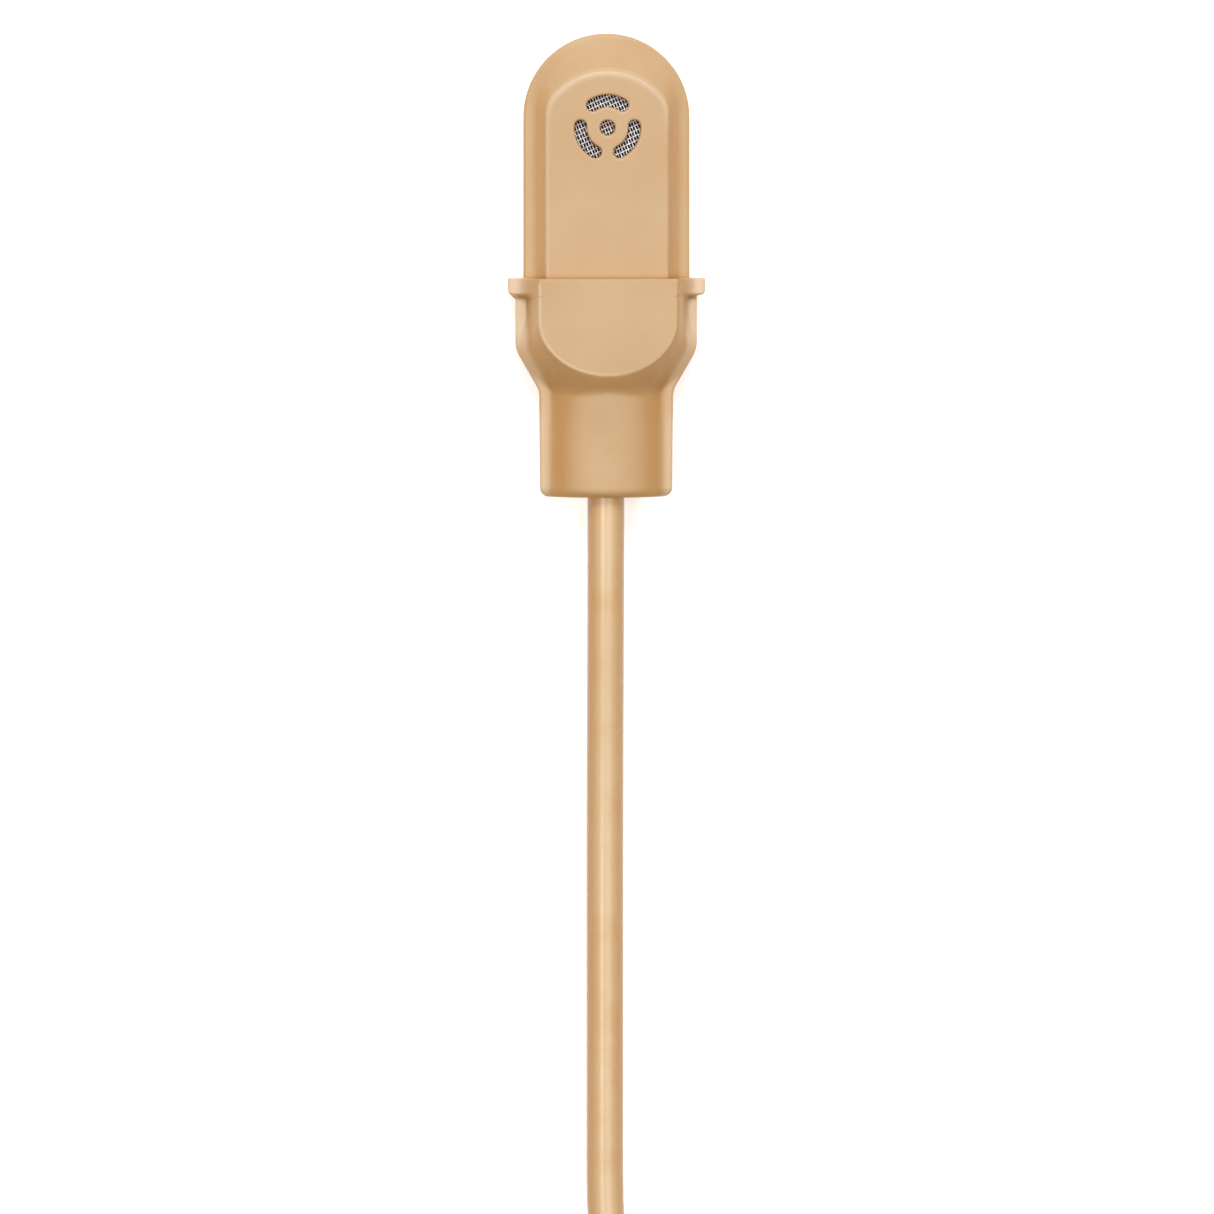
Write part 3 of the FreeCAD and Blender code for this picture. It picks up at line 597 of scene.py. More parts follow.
def cord_points():
    """The cable's whole line: out of the boot, into the hank, round its turns and on to the plug."""
    last = LANES * LAYERS - 1
    points = list(CABLE_ROUTE)
    for turn in range(last + 1):
        down = run_points(turn, 1)
        if turn == 0:
            down = [point for point in down if point[1] < CABLE_ROUTE[-1][1] - 1]
        if turn == last:
            points += [point for point in down if point[1] > PLUG_END_ROUTE[0][1] + 1]
            break
        points += down + fold_points(turn, False) + run_points(turn, -1) + fold_points(turn, True)
    return points + PLUG_END_ROUTE


def make_cord(material):
    points = cord_points()
    data = bpy.data.curves.new("cable_cord", "CURVE")
    data.dimensions = "3D"
    data.bevel_depth = CABLE_RADIUS * MM
    data.bevel_resolution = 8
    data.resolution_u = 10
    data.use_fill_caps = True
    spline = data.splines.new("NURBS")
    spline.points.add(len(points) - 1)
    for control, point in zip(spline.points, points):
        control.co = (*[value * MM for value in point], 1)
    spline.order_u = 3
    spline.use_endpoint_u = True
    spline.use_smooth = True
    cord = add_object("cable_cord", data, material)
    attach(cord, "microphone")
    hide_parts("cable", "cable_hank", "cable_plug_end")
    return cord


def rounded_box_path(half_width, half_height, corner, steps):
    """A closed path round a rounded rectangle, as (across, up) pairs from its middle."""
    path = []
    for quarter, (side, rise) in enumerate(((1, 1), (-1, 1), (-1, -1), (1, -1))):
        for step in range(steps + 1):
            angle = math.pi / 2 * (quarter + step / steps)
            across = side * (half_width - corner) + corner * math.cos(angle)
            path.append((across, rise * (half_height - corner) + corner * math.sin(angle)))
    return path


def strap_loop_rings(section, waist, height):
    """The strap's section carried once round the hank's waist, and under it."""
    half_width, half_height = waist + TIE_THICKNESS / 2, (height + TIE_THICKNESS) / 2
    centre_z = TIE_THICKNESS + height / 2
    path = rounded_box_path(half_width, half_height, 1.1, 10)
    rings = []
    for index, (across, up) in enumerate(path):
        before, after = path[index - 1], path[(index + 1) % len(path)]
        tangent = Vector((after[0] - before[0], after[1] - before[1])).normalized()
        outward = Vector((tangent.y, -tangent.x))
        ring = []
        for out, along in section:
            x = HANK_X + across + outward.x * out
            ring.append((x, HANK_MIDDLE_Y + along, centre_z + up + outward.y * out))
        rings.append(ring)
    return rings


def strap_tab_rings(section, waist, height):
    """The strap's free end, which lies on its top, narrows to its tip and rises a little there."""
    top_z = height + 2 * TIE_THICKNESS + TIE_THICKNESS / 2
    start_x, end_x = HANK_X + waist - 0.2, HANK_X - TIE_TAB_LENGTH / 2
    rings = []
    for step in range(25):
        share = step / 24
        narrow = 1 - 0.35 * ease((share - 0.8) / 0.2) ** 2
        tip_lift = 0.25 * max(share - 0.7, 0) ** 2 / 0.09
        root_dip = 0.45 * (1 - ease(share / 0.12))
        x, z = between(start_x, end_x, share), top_z + tip_lift - root_dip
        rings.append([(x, HANK_MIDDLE_Y + along * narrow, z + out) for out, along in section])
    return rings


def make_tie(material):
    """A soft strap round the hank's waist, with its free end lapped over the top."""
    mesh = bmesh.new()
    waist = OUTER_LANE + CABLE_RADIUS - WAIST_PINCH
    height = 2 * CABLE_RADIUS * LAYERS
    section = rounded_box_path(TIE_THICKNESS / 2, TIE_WIDTH / 2, 0.16, 3)
    first, last = loft(mesh, strap_loop_rings(section, waist, height))
    bridge(mesh, last, first)
    first, last = loft(mesh, strap_tab_rings(section, waist, height))
    mesh.faces.new(first)
    mesh.faces.new(last)
    return finish_piece("hank_strap", mesh, material, ["hank_tie"], crease=50)


# ---- Head ---------------------------------------------------------------------------------------------

SIDE_STEPS = 40
ARC_STEPS = 120
SLOPE_STEPS = 26
BEVEL_STEPS = 4
BACK_EDGE = 0.5  # rounding of the back
HEAD_EDGE = 0.14  # rounding between the side and the slope
HEAD_DRAFT = 0.05  # how far the sides lean in at the back
SEAM = 0.04  # width and depth of the groove where the shells meet
SLOPE_RISE = PAD_Z - SHOULDER_Z
SLOPE_STRAIGHT = (0.28, 0.85)  # straight share of the slope, at the sides and at the tip
SLOPE_POWER = (3.4, 1.5)  # how hollow the rest of it is there
PAD_BEVEL = 0.09
PAD_CORNER = 1.2
FLAT_INSETS = (0.13, 0.22, 0.32, 0.44, 0.6)  # rings on the pad's flat, over which its painted highlight fades
OPENING_FILLET = 0.11


def arch_ring(half_width, arc_radius, arc_y, end_y, z):
    """An arch from its lower left corner over the top to its lower right corner."""
    spring_y = arc_y + math.sqrt(max(arc_radius**2 - half_width**2, 0.0))
    spring = math.atan2(spring_y - arc_y, half_width)
    sides = [between(end_y, spring_y, step / SIDE_STEPS) for step in range(SIDE_STEPS)]
    ring = [(-half_width, y, z) for y in sides]
    for step in range(ARC_STEPS + 1):
        angle = between(math.pi - spring, spring, step / ARC_STEPS)
        ring.append((arc_radius * math.cos(angle), arc_y + arc_radius * math.sin(angle), z))
    return ring + [(half_width, y, z) for y in reversed(sides)]


def head_ring(inset, z):
    radius = HEAD_HALF_WIDTH - inset
    return arch_ring(radius, radius, HEAD_ARC_Y, CASE_END_Y + inset, z)


def pad_corner():
    """Centre of the right rounded corner between the pad's arc and its side, and where that corner ends."""
    x = PAD_HALF_WIDTH - PAD_CORNER
    rise = math.sqrt((PAD_ARC_RADIUS - PAD_CORNER) ** 2 - x**2)
    return x, PAD_ARC_Y + rise, math.atan2(rise, x)


def pad_ring(inset):
    """The pad's outline, like an arch but with rounded corners where its arc meets its sides."""
    corner_x, corner_y, corner_end = pad_corner()
    half_width, end_y = PAD_HALF_WIDTH - inset, CASE_END_Y + inset
    sides = [between(end_y, corner_y, step / SIDE_STEPS) for step in range(SIDE_STEPS)]
    ring = [(-half_width, y, PAD_Z) for y in sides]
    for step in range(ARC_STEPS + 1):
        angle = between(math.pi, 0, step / ARC_STEPS)
        x, y, radius = math.copysign(corner_x, math.cos(angle)), corner_y, PAD_CORNER - inset
        if corner_end < angle < math.pi - corner_end:
            x, y, radius = 0, PAD_ARC_Y, PAD_ARC_RADIUS - inset
        ring.append((x + radius * math.cos(angle), y + radius * math.sin(angle), PAD_Z))
    return ring + [(half_width, y, PAD_Z) for y in reversed(sides)]


def outside_pad(x, y):
    """How far a point is outside the pad's outline, less than zero inside it."""
    corner_x, corner_y, corner_end = pad_corner()
    if y < corner_y:
        return abs(x) - PAD_HALF_WIDTH
    if math.atan2(y - PAD_ARC_Y, abs(x)) > corner_end:
        return math.hypot(x, y - PAD_ARC_Y) - PAD_ARC_RADIUS
    return math.hypot(abs(x) - corner_x, y - corner_y) - PAD_CORNER


def slope_shape(low, high):
    """How the slope climbs from a point on the side's edge to one on the pad's outline.

    Gives its straight share, its power, its rise, and how far below the pad's flat it ends.
    """
    towards_tip = ease(1.05 * max(low[1] - HEAD_ARC_Y, 0) / (HEAD_HALF_WIDTH - HEAD_EDGE))
    straight, power = between(*SLOPE_STRAIGHT, towards_tip), between(*SLOPE_POWER, towards_tip)
    gap = math.hypot(low[0] - high[0], low[1] - high[1])
    steep = straight + (1 - straight) * power
    lip = SLOPE_RISE * steep * PAD_BEVEL / 2 / (gap + steep * PAD_BEVEL / 2)
    return straight, power, SLOPE_RISE - lip, lip


def slope_rings():
    """From the side's rounded edge up to the pad's flat: hollow at the sides, straighter at the tip."""
    low, high = head_ring(HEAD_EDGE, SHOULDER_Z), pad_ring(0)
    shapes = [slope_shape(start, end) for start, end in zip(low, high)]
    rings = []
    for step in range(1, SLOPE_STEPS + 1):
        share = 1 - (1 - step / SLOPE_STEPS) ** 1.5
        ring = []
        for start, end, (straight, power, rise, _) in zip(low, high, shapes):
            climbed = rise * between(share**power, share, straight)
            x, y = between(start[0], end[0], share), between(start[1], end[1], share)
            ring.append((x, y, SHOULDER_Z + climbed))
        rings.append(ring)
    for step in range(1, BEVEL_STEPS + 1):
        left = (1 - step / BEVEL_STEPS) ** 2
        ring = pad_ring(PAD_BEVEL * step / BEVEL_STEPS)
        rings.append([(x, y, PAD_Z - lip * left) for (x, y, _), (*_, lip) in zip(ring, shapes)])
    return rings + [pad_ring(inset) for inset in FLAT_INSETS]


def opening_ring(number, grow, z):
    """Outline of one opening of the grille: number 0 is the centre hole, the others are the slots."""
    if number == 0:
        points = arc_points(Vector((0, 0)), HOLE_RADIUS + grow, 0, 2 * math.pi, 40)[:-1]
        return [(p.x, GRILLE_Y + p.y, z) for p in points]
    half_width, end = SLOT_HALF_WIDTH + grow, SLOT_HALF_ANGLE
    middle, first, last = Vector((0, 0)), polar(SLOT_MID_RADIUS, -end), polar(SLOT_MID_RADIUS, end)
    points = arc_points(middle, SLOT_MID_RADIUS + half_width, -end, end, 24)
    points += arc_points(last, half_width, end, end + math.pi, 12)[1:-1]
    points += arc_points(middle, SLOT_MID_RADIUS - half_width, end, -end, 16)
    points += arc_points(first, half_width, math.pi - end, 2 * math.pi - end, 12)[1:-1]
    turn = math.pi / 2 + 2 * math.pi * (number - 1) / SLOT_COUNT
    cos, sin = math.cos(turn), math.sin(turn)
    return [(p.x * cos - p.y * sin, GRILLE_Y + p.x * sin + p.y * cos, z) for p in points]


def head_outside_rings():
    """The shells' outside, from the flat back round its edge, over the seam and up to the pad's flat."""
    rings = [head_ring(HEAD_DRAFT + BACK_EDGE + 0.1, CASE_BACK_Z)]
    for inset, rise in quarter_round(BACK_EDGE, 8):
        rings.append(head_ring(HEAD_DRAFT + inset, CASE_BACK_Z + rise))
    for inset, rise in ((0, -1.5), (1, -0.5), (1, 0.5), (0, 1.5)):
        rings.append(head_ring(SEAM * inset, PARTING_Z + SEAM * rise))
    rings += [head_ring(inset, SHOULDER_Z - drop) for drop, inset in quarter_round(HEAD_EDGE, 4)]
    return rings + slope_rings()


def head_painted_highlight(x, y, z):
    """Painted highlight on the case: on the pad's bevel, further in at its tip, and round the openings."""
    outside = outside_pad(x, y)
    if z > PAD_Z - 0.2 and -0.65 < outside < 0.01:
        towards_tip = ease((y - PAD_ARC_Y) / PAD_ARC_RADIUS)
        broad = ease(-outside / 0.05) * ease((0.34 + outside) / 0.26)
        thin = 1.0 if outside > -PAD_BEVEL - 0.01 else 0.0
        # Painted highlight strongest along the left bevel, where the left light catches it
        on_left = ease(0.2 - 1.6 * x / PAD_HALF_WIDTH)
        return max(0.75 * broad * towards_tip, 0.45 * thin * max(on_left, 0.5 * towards_tip))
    # A faint painted highlight on the openings' rounded rims
    if PAD_Z - OPENING_FILLET - 0.01 < z < PAD_Z - 0.001:
        return 0.25
    return 0.0


def make_head(material):
    """Both shells as one hollow moulding, with the grille's openings through its front."""
    mesh = bmesh.new()
    back, pad_edge = loft(mesh, head_outside_rings())
    ceiling_z = PAD_Z - WALL
    inner = [head_ring(WALL, 2 * CASE_BACK_Z), head_ring(WALL, PARTING_Z)]
    for z in (PARTING_Z, ceiling_z):
        inner.append(arch_ring(ROOM_HALF_WIDTH, ROOM_ARC_RADIUS, ROOM_ARC_Y, ROOM_END_Y, z))
    floor, ceiling = loft(mesh, inner)
    mouths, throats = [], []
    for number in range(SLOT_COUNT + 1):
        rings = [opening_ring(number, OPENING_FILLET + 0.04, PAD_Z)]
        for grow, drop in quarter_round(OPENING_FILLET, 5):
            rings.append(opening_ring(number, grow, PAD_Z - drop))
        rings.append(opening_ring(number, 0, ceiling_z))
        mouth, throat = loft(mesh, rings)
        mouths.append(mouth)
        throats.append(throat)
    for outlines in ([pad_edge] + mouths, [ceiling] + throats, [back], [floor]):
        fill_flat(mesh, outlines)
    for vertex in mesh.verts:
        # The shells narrow a little where the boot hides them
        vertex.co.x *= 1 - 0.1 * ease((BOOT_TOP_Y - 0.2 - vertex.co.y) / 0.4)
    mark_painted_highlight(mesh, head_painted_highlight)
    return finish_piece("head_case", mesh, material, ["front_shell", "rear_shell"])


# ---- Grille -------------------------------------------------------------------------------------------

# Direction in degrees, pitch and radius of each family of wires, and the pitch of the wires that it crosses
WIRE_FAMILIES = ((112, 0.125, 0.023, 0.205), (24, 0.205, 0.028, 0.125))
WIRE_WAVE = 0.023  # how far the wires weave up and down


def add_wire(mesh, path, radius, sides=6):
    """A closed round wire that runs roughly level."""
    rings = []
    for index, point in enumerate(path):
        tangent = (path[min(index + 1, len(path) - 1)] - path[max(index - 1, 0)]).normalized()
        across = Vector((0, 0, 1)).cross(tangent).normalized()
        up = tangent.cross(across)
        circle = arc_points(Vector((0, 0)), radius, 0, 2 * math.pi, sides)[:-1]
        rings.append([point + across * place.x + up * place.y for place in circle])
    first, last = loft(mesh, rings)
    mesh.faces.new(first)
    mesh.faces.new(last)


def make_grille(material):
    """Fine plain-weave wire cloth behind the openings: close bright wires over wider-spaced ones."""
    mesh = bmesh.new()
    middle_z = PAD_Z - WALL - MESH_THICKNESS / 2
    for family, (direction, pitch, radius, crossing) in enumerate(WIRE_FAMILIES):
        along = polar(1, math.radians(direction)).to_3d()
        across = Vector((-along.y, along.x, 0))
        count = int(MESH_RADIUS / pitch)
        for number in range(-count, count + 1):
            offset = number * pitch
            steps = int(arc_height(MESH_RADIUS - 0.03, offset) / crossing * 4)
            if steps < 2:
                continue
            path = []
            for step in range(-steps, steps + 1):
                wave = WIRE_WAVE * math.cos(math.pi * (step / 4 + number + family))
                centre = Vector((0, GRILLE_Y, middle_z + wave))
                path.append(centre + across * offset + along * step * crossing / 4)
            add_wire(mesh, path, radius)
    return finish_piece("grille_wires", mesh, material, ["grille_mesh"], crease=60)


# ---- Boot ---------------------------------------------------------------------------------------------

RIM_END_Y = BOOT_TOP_Y - RIM_WIDTH
RIM_UPPER_CORNER = 0.08
RIM_LOWER_CORNER = 0.24
RIM_FILLET = 0.05  # between the rim's ears and the sides under them
SIDE_ROUNDING = 0.14  # of the front's edge, along the sides
END_ROUNDING = 0.45  # and at the neck's end
TOP_ROUNDING = 0.06
BOOT_PAD_BEVEL = 0.1
NECK_SWELL = 0.28  # how much higher the neck's crown is beside the pad
SWELL_HALF_WIDTH = 2.4
SWEEP_HALF_WIDTH = 2.2  # where the wall under the pad's round end sweeps out furthest
BOOT_BACK_EDGE = 0.35  # rounding of the back
BOOT_DRAFT = 0.1  # how far the sides lean in at the back
COLUMN_STEP = 0.0082  # of the sheet over the front, as a share of the half width
ROW_STEP = 0.032
CLOSE_STEPS = (0.0, 0.01, 0.025, 0.045, 0.07)  # places of the closer columns and rows at its edges


def soft_max(first, second, blend):
    """The larger of two heights, rounded over where they are nearly equal."""
    near = max(blend - abs(first - second), 0) / blend
    return max(first, second) + near * near * blend / 4


def round_corner(width, radius, past):
    """A half width narrowed by a round corner, this far past the corner's start."""
    return width - radius + arc_height(radius, past)


def taper_half_width(y):
    """The boot's half width without its rim."""
    both_radii = TAPER_UPPER_RADIUS + TAPER_LOWER_RADIUS
    upper_inset = TAPER_UPPER_RADIUS * (1 - math.cos(TAPER_ANGLE))
    straight_inset = BOOT_HALF_WIDTH - NECK_HALF_WIDTH - both_radii * (1 - math.cos(TAPER_ANGLE))
    upper_end = TAPER_START_Y - TAPER_UPPER_RADIUS * math.sin(TAPER_ANGLE)
    lower_start = upper_end - straight_inset / math.tan(TAPER_ANGLE)
    lower_end = lower_start - TAPER_LOWER_RADIUS * math.sin(TAPER_ANGLE)
    if y >= TAPER_START_Y:
        return BOOT_HALF_WIDTH
    if y >= upper_end:
        return round_corner(BOOT_HALF_WIDTH, TAPER_UPPER_RADIUS, TAPER_START_Y - y)
    if y >= lower_start:
        return BOOT_HALF_WIDTH - upper_inset - (upper_end - y) * math.tan(TAPER_ANGLE)
    if y >= lower_end:
        return NECK_HALF_WIDTH + TAPER_LOWER_RADIUS - arc_height(TAPER_LOWER_RADIUS, y - lower_end)
    return between(NECK_HALF_WIDTH, NECK_END_HALF_WIDTH, (lower_end - y) / (lower_end - BOOT_END_Y))


def boot_half_width(y):
    """The outline's half width, with the rim's ears and the rounded lower corners."""
    width = taper_half_width(y)
    if y > BOOT_TOP_Y - RIM_UPPER_CORNER:
        return round_corner(RIM_HALF_WIDTH, RIM_UPPER_CORNER, y - BOOT_TOP_Y + RIM_UPPER_CORNER)
    if y > RIM_END_Y + RIM_LOWER_CORNER:
        return RIM_HALF_WIDTH
    if y > RIM_END_Y:
        ear = round_corner(RIM_HALF_WIDTH, RIM_LOWER_CORNER, RIM_END_Y + RIM_LOWER_CORNER - y)
        return max(ear, width + RIM_FILLET)
    if y > RIM_END_Y - RIM_FILLET:
        return width + RIM_FILLET - arc_height(RIM_FILLET, y - RIM_END_Y + RIM_FILLET)
    if y < BOOT_END_Y + NECK_CORNER:
        return round_corner(width, NECK_CORNER, BOOT_END_Y + NECK_CORNER - y)
    return width


def pad_distance(x, y):
    """How far a point lies outside the boot's raised pad, or inside it if negative."""
    if y >= BOOT_PAD_BEND_Y:
        return abs(x) - BOOT_PAD_HALF_WIDTH
    a, b = BOOT_PAD_HALF_WIDTH, BOOT_PAD_BEND_DEPTH
    depth = y - BOOT_PAD_BEND_Y
    scaled = math.hypot(x / a, depth / b)
    steepness = math.hypot(x / a**2, depth / b**2)
    return scaled * (scaled - 1) / max(steepness, 1e-6)


def pad_height(x, y, under):
    """The raised pad, its bevel and its wall, which sweeps down into the surface under it."""
    distance = pad_distance(x, y)
    if distance <= -BOOT_PAD_BEVEL:
        return BOOT_PAD_Z
    low = ease((BOOT_PAD_BEND_Y + 0.2 - y) / 2.2)
    at_side = between(0.47, 0.56, ease(x))
    at_end = between(0.85, 1.35, min(abs(x) / SWEEP_HALF_WIDTH, 1))
    sweep = between(at_side, at_end, low)
    steep = 0.7 * (BOOT_PAD_Z - under) / sweep
    lip = min(steep * BOOT_PAD_BEVEL / 2, 0.2)
    if distance <= 0:
        return BOOT_PAD_Z - lip * ((distance + BOOT_PAD_BEVEL) / BOOT_PAD_BEVEL) ** 2
    start = between(0.15, 0.25, low)
    share = between(start, 1, min(distance / sweep, 1))
    fallen = (ease(share) - ease(start)) / (1 - ease(start))
    return between(BOOT_PAD_Z - lip, under, fallen)


def rim_height(x):
    """The rim's face: flat ears that sweep up into the pad."""
    share = min(max((BOOT_HALF_WIDTH - abs(x)) / (BOOT_HALF_WIDTH - BOOT_PAD_HALF_WIDTH), 0), 1)
    return RIM_TOP_Z + (BOOT_PAD_Z - 0.05 - RIM_TOP_Z) * share**2.3


def edge_drop(distance, radius):
    """How much lower a surface is within a rounded edge."""
    return 0 if distance >= radius else radius - arc_height(radius, radius - distance)


def boot_height(x, y):
    """Height of the boot's front at one point."""
    barrel = NECK_CROWN_Z - NECK_BARREL_RADIUS + arc_height(NECK_BARREL_RADIUS, x)
    near_pad = ease((y - BOOT_PAD_BEND_Y + BOOT_PAD_BEND_DEPTH + 2.8) / 2.8)
    barrel += NECK_SWELL * near_pad * max(1 - (x / SWELL_HALF_WIDTH) ** 2, 0)
    height = pad_height(x, y, soft_max(PARTING_Z, barrel, 0.4))
    rim_share = ease((y - RIM_END_Y + 0.16) / 0.26)
    height = max(height, between(height, rim_height(x), rim_share))
    height -= edge_drop(boot_half_width(y) - abs(x), SIDE_ROUNDING)
    height -= edge_drop(y - BOOT_END_Y, END_ROUNDING)
    return height - edge_drop(BOOT_TOP_Y - y, TOP_ROUNDING)


def boot_painted_highlight(x, y, z):
    """Painted highlight on the rubber: a pale band along its outline, and on the pad's bevel except on the
    right.
    """
    if z < PARTING_Z - 0.3:
        return 0.0
    on_rim = ease((y - RIM_END_Y) / 0.2)
    on_neck = ease((TAPER_START_Y - 1.5 - y) / 1.0)
    in_taper = ease((TAPER_START_Y + 0.6 - y) / 1.2) * ease((y - TAPER_START_Y + 3.6) / 1.0)
    under_rim = ease(1 - abs(y - RIM_END_Y + 0.04) / 0.22)
    # The outline's painted highlight band ends this far in, and fades over this much of that
    band = between(between(0.6, 0.48, on_neck), 1.3, on_rim)
    fade = between(between(0.24, 0.38, on_neck), 1.1, on_rim)
    outline = ease((band - boot_half_width(y) + abs(x)) / fade)
    outline *= between(0.8, 0.48, on_neck) * between(1, 0.4, in_taper) * between(1, 0.15, under_rim)
    on_bevel = ease(1 - abs(pad_distance(x, y) + 0.06) / 0.11)
    # The bevel's painted highlight is strongest on the left, where the light catches it
    facing = ease(0.55 - 0.45 * x / BOOT_PAD_HALF_WIDTH - 0.25 * ease((x - 0.3) / 1.5))
    below_top = ease((BOOT_TOP_Y - 0.05 - y) / 0.3)
    return max(outline, 0.7 * on_bevel * facing * below_top)


def spaced(start, end, step):
    """Values from start to end, evenly spaced but closer together near both ends."""
    direction = math.copysign(1, end - start)
    inner = [start + direction * offset for offset in CLOSE_STEPS]
    outer = [end - direction * offset for offset in reversed(CLOSE_STEPS)]
    count = int(abs(end - start) / step)
    middle = [between(inner[-1], outer[0], (index + 1) / (count + 1)) for index in range(count)]
    return inner + middle + outer


def add_front(mesh):
    """A fine sheet over the boot's front. Gives its outline's vertices, in order round it."""
    columns = spaced(-1.0, 1.0, COLUMN_STEP)
    grid = []
    for y in spaced(BOOT_TOP_Y, BOOT_END_Y, ROW_STEP):
        places = [column * boot_half_width(y) for column in columns]
        grid.append([mesh.verts.new((x, y, boot_height(x, y))) for x in places])
    for upper, lower in zip(grid, grid[1:]):
        for index in range(len(columns) - 1):
            mesh.faces.new((upper[index], lower[index], lower[index + 1], upper[index + 1]))
    right = [row[-1] for row in grid[1:-1]]
    left = [row[0] for row in reversed(grid[1:-1])]
    return grid[0] + right + list(reversed(grid[-1])) + left


def add_side_ring(mesh, outline, inset, z):
    """The boot's outline at one height of its sides, drawn in all round."""
    middle_y, half_length = (BOOT_TOP_Y + BOOT_END_Y) / 2, (BOOT_TOP_Y - BOOT_END_Y) / 2
    ring = []
    for vertex in outline:
        x, y = vertex.co.x, vertex.co.y
        drawn_x = x - inset * x / boot_half_width(y)
        drawn_y = y - inset * (y - middle_y) / half_length
        ring.append(mesh.verts.new((drawn_x, drawn_y, z)))
    return ring


def make_boot(material):
    """The rubber boot: its front, closed round its sides and across its flat back."""
    mesh = bmesh.new()
    outline = add_front(mesh)
    levels = [(0.4 * BOOT_DRAFT, BOOT_BACK_EDGE + 0.9), (BOOT_DRAFT, BOOT_BACK_EDGE)]
    levels += [(BOOT_DRAFT + inset, z) for z, inset in quarter_round(BOOT_BACK_EDGE, 6)[1:]]
    above = outline
    for inset, z in levels:
        ring = add_side_ring(mesh, outline, inset, z)
        bridge(mesh, above, ring)
        above = ring
    fill_flat(mesh, [above])
    mark_painted_highlight(mesh, boot_painted_highlight)
    return finish_piece("rubber_boot", mesh, material, ["boot"], crease=180)


# ---- Plug ---------------------------------------------------------------------------------------------

FLANGE_RADIUS = 4.35
SHELL_BORE = 3.4
SHELL_GROOVES = (SHELL_START + 2.2, SHELL_START + 3.0)
GROOVE_DEPTH = 0.15
RELIEF_GROOVES = 5
KNURL_FLUTES = 44
KNURL_DEPTH = 0.22
KNURL_MARGIN = 1.37  # plain length at each end of the lock ring
SCREW_TURNS = 11  # grooves of the lock ring's thread
SCREW_PITCH = 0.5
INSULATOR_RADIUS = 1.74


def softened(profile, radius):
    """Rounds each corner of a closed profile of (along, radius) pairs with a small arc."""
    count = len(profile)
    points = []
    for index, corner in enumerate(profile):
        corner = Vector(corner)
        before, after = Vector(profile[index - 1]), Vector(profile[(index + 1) % count])
        if corner.y == 0:
            points.append(corner)
            continue
        to_before, to_after = before - corner, after - corner
        reach = min(radius, 0.4 * to_before.length, 0.4 * to_after.length)
        start, end = corner + to_before.normalized() * reach, corner + to_after.normalized() * reach
        for step in range(5):
            share = step / 4
            curved = start * (1 - share) ** 2 + corner * 2 * share * (1 - share) + end * share**2
            points.append(curved)
    return points


def knurl_cut(along, radius, angle):
    """How deep the lock ring's flutes are at one point of its outside."""
    if not LOCK_START + KNURL_MARGIN <= along <= LOCK_END - KNURL_MARGIN or radius < LOCK_RADIUS - 0.3:
        return 0.0
    return KNURL_DEPTH * (0.5 - 0.5 * math.cos(KNURL_FLUTES * angle))


def lathe(name, profile, material, slot, replaced, body="microphone", steps=96, soft=0.06, cut=None):
    """A turned part on the plug's axis. cut says how far its surface is cut in at each point."""
    mesh = bmesh.new()
    rings = []
    for along, radius in softened(profile, soft):
        on_axis = radius < 1e-6
        ring = []
        for step in range(1 if on_axis else steps):
            angle = 2 * math.pi * step / steps
            reach = radius - (cut(along, radius, angle) if cut else 0)
            x, z = PLUG_X + reach * math.cos(angle), PLUG_Z + reach * math.sin(angle)
            ring.append(mesh.verts.new((x, PLUG_TAIL_Y - along, z)))
        rings.append(ring)
    for first, second in zip(rings, rings[1:] + rings[:1]):
        if len(first) == 1 and len(second) == 1:
            continue
        for step in range(steps):
            after = (step + 1) % steps
            corners = [first[step % len(first)], first[after % len(first)]]
            corners += [second[after % len(second)], second[step % len(second)]]
            mesh.faces.new(list(dict.fromkeys(corners)))
    return finish_piece(name, mesh, material, replaced, body)


def relief_profile():
    """A tapered sleeve with flexing grooves cut round it."""
    profile = [(0.25, 0.7), (0.0, 1.0)]
    for groove in range(RELIEF_GROOVES):
        start = 0.9 + groove * 0.95
        for along, depth in ((0, 0), (0.08, 0.28), (0.37, 0.28), (0.45, 0)):
            profile.append((start + along, 1.2 + (start + along) / 6 - depth))
    return profile + [(SHELL_START + 0.5, 2.15), (SHELL_START + 0.5, 0.7)]


def shell_profile():
    """A sleeve with a coned tail and two fine grooves round it."""
    profile = [(SHELL_START, 2.25), (SHELL_START, 3.2), (SHELL_START + 1.3, SHELL_RADIUS)]
    for start in SHELL_GROOVES:
        profile += [(start, SHELL_RADIUS), (start + 0.1, SHELL_RADIUS - GROOVE_DEPTH)]
        profile += [(start + 0.25, SHELL_RADIUS - GROOVE_DEPTH), (start + 0.35, SHELL_RADIUS)]
    profile += [(SHELL_END, SHELL_RADIUS), (SHELL_END, SHELL_BORE + 0.1)]
    return profile + [(SHELL_START + 0.9, SHELL_BORE + 0.1), (SHELL_START + 0.9, 2.25)]


def body_profile():
    """The spigot inside the shell, the flange behind the lock ring and the neck that the ring turns on."""
    spigot = [(14.0, BODY_BORE), (14.0, SHELL_BORE), (SHELL_END, SHELL_BORE)]
    flange = [(SHELL_END + 0.06, FLANGE_RADIUS), (FLANGE_END, FLANGE_RADIUS)]
    neck = [(FLANGE_END, BODY_NECK_RADIUS), (SEAT, BODY_NECK_RADIUS), (SEAT, BODY_BORE)]
    return spigot + flange + neck


